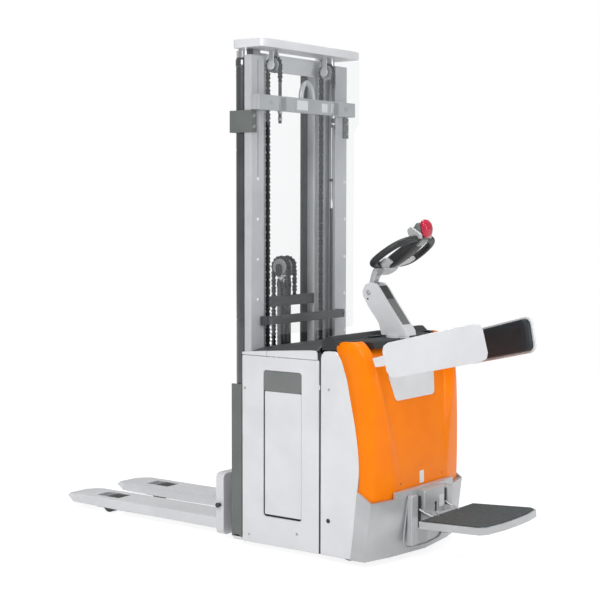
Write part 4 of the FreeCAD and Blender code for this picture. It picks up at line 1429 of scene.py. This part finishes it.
# remaining solids: own finish, rounded edges
EASED = (
    ("chassis", silver_paint, 4.0), ("dashboard", black_abs, 9.0), ("outer_columns", column_paint, 2.0),
    ("crossbar_lower", dark_paint, 2.0), ("mast_brackets", bracket_paint, 2.0),
    ("support_legs", silver_paint, 3.0), ("platform", silver_paint, 5.0), ("platform_mat", mat_rubber, 1.2),
    ("guard_plate_near", light_paint, 4.0), ("guard_plate_far", light_paint, 4.0),
    ("guard_bosses", light_paint, 3.0), ("tiller_foot", light_paint, 11.0), ("middle_rails", rail_paint, 1.5),
    ("crosshead", light_paint, 7.0), ("inner_rails", track_paint, 1.5),
    ("fork_carriage", light_paint, 6.0), ("fork_near", light_paint, 3.0), ("fork_far", light_paint, 3.0),
    ("drive_unit", dark_paint, 2.0), ("castor_fork", dark_paint, 2.0),
)
for node, material, edge in EASED:
    eased(node, material, edge)

PLAIN = (
    ("battery", dark_paint), ("lift_rods", chrome), ("free_lift_rod", chrome),
    ("mast_screen", screen_sheet),
)
for node, material in PLAIN:
    mesh_owner = frame["nodes"][node]
    mesh_owner.data.materials.clear()
    mesh_owner.data.materials.append(material)


# stage: floor, world, lamps and camera
def white_for_camera(name, strength):
    """Pale matt board that the camera and reflections see as white, and that takes the shadow too."""
    material, tree, where = start_material(name)
    speck = add(tree, "TexNoise", {"Vector": where, "Scale": per_mm(400.0)})
    tone = add(tree, "MapRange", {"Value": speck.outputs["Fac"], "To Min": 0.86, "To Max": 0.88})
    matt = add(tree, "BsdfDiffuse", {"Color": tone.outputs["Result"]})
    glow = add(tree, "Emission", {"Color": (1, 1, 1, 1), "Strength": strength})
    path = add(tree, "LightPath")
    seen = add(
        tree,
        "Math",
        {0: path.outputs["Is Camera Ray"], 1: path.outputs["Is Glossy Ray"]},
        operation="MAXIMUM",
    )
    through_glass = add(
        tree, "Math", {0: seen.outputs[0], 1: path.outputs["Is Transmission Ray"]}, operation="MAXIMUM"
    )
    part = add(tree, "Math", {0: through_glass.outputs[0], 1: 0.7}, operation="MULTIPLY")
    mix = add(tree, "MixShader", {0: part.outputs[0], 1: matt.outputs["BSDF"], 2: glow.outputs["Emission"]})
    end_material(tree, mix)
    return material


floor_mesh = bpy.data.meshes.new("studio_floor")
FLOOR_REACH = 14.0
floor_mesh.from_pydata(
    [
        (-FLOOR_REACH, -FLOOR_REACH, 0), (FLOOR_REACH, -FLOOR_REACH, 0), (FLOOR_REACH, FLOOR_REACH, 0),
        (-FLOOR_REACH, FLOOR_REACH, 0),
    ],
    [],
    [(0, 1, 2, 3)],
)
floor = bpy.data.objects.new("studio_floor", floor_mesh)
floor_mesh.materials.append(white_for_camera("studio_board", 1.27))
bpy.context.scene.collection.objects.link(floor)

world = bpy.data.worlds.new("studio")
bpy.context.scene.world = world
world.use_nodes = True
world.node_tree.nodes.clear()
LIGHT_LEVEL = 0.41
path = add(world.node_tree, "LightPath")
seen = add(
    world.node_tree,
    "Math",
    {0: path.outputs["Is Camera Ray"], 1: path.outputs["Is Transmission Ray"]},
    operation="MAXIMUM",
)
level = add(world.node_tree, "MapRange", {"Value": seen.outputs[0], "To Min": LIGHT_LEVEL, "To Max": 1.0})
sky = add(world.node_tree, "Background", {"Color": (1, 1, 1, 1), "Strength": level.outputs["Result"]})
world_out = add(world.node_tree, "OutputWorld")
world.node_tree.links.new(sky.outputs[0], world_out.inputs["Surface"])


def lamp(name, place, target, size, watts):
    """A soft square lamp at place, facing target, both in metres."""
    data = bpy.data.lights.new(name, "AREA")
    data.shape = "SQUARE"
    data.size = size
    data.energy = watts
    obj = bpy.data.objects.new(name, data)
    aim = np.array(target, float) - np.array(place, float)
    yaw = math.atan2(aim[1], aim[0])
    fall = math.atan2(-aim[2], math.hypot(aim[0], aim[1]))
    obj.location = place
    obj.rotation_euler = (math.pi / 2 - fall, 0.0, yaw - math.pi / 2)
    bpy.context.scene.collection.objects.link(obj)


MIDDLE = (0.4, 0.0, 0.9)
lamp("key", (1.5, -5.0, 4.2), MIDDLE, 2.0, 182.0)
lamp("rear_fill", (5.5, 1.0, 2.4), MIDDLE, 2.4, 84.0)
lamp("top", (0.2, 0.4, 5.5), MIDDLE, 3.2, 120.0)

CAMERA_PLACE = (4.164, -5.508, 1.6017)
CAMERA_TURN = 36.5
CAMERA_FALL = 3.8
CAMERA_ROLL = -0.1
FOCAL_PX = 1409.3
FRAME_PX = 600.0
camera_data = bpy.data.cameras.new("camera")
camera_data.sensor_width = 36.0
camera_data.lens = FOCAL_PX / FRAME_PX * camera_data.sensor_width
camera_data.clip_end = 60.0
camera = bpy.data.objects.new("camera", camera_data)
camera.location = CAMERA_PLACE
camera.rotation_mode = "XYZ"
camera.rotation_euler = (
    math.radians(90.0 - CAMERA_FALL), math.radians(CAMERA_ROLL), math.radians(CAMERA_TURN)
)
bpy.context.scene.collection.objects.link(camera)
bpy.context.scene.camera = camera
bpy.context.scene.view_settings.view_transform = "Standard"
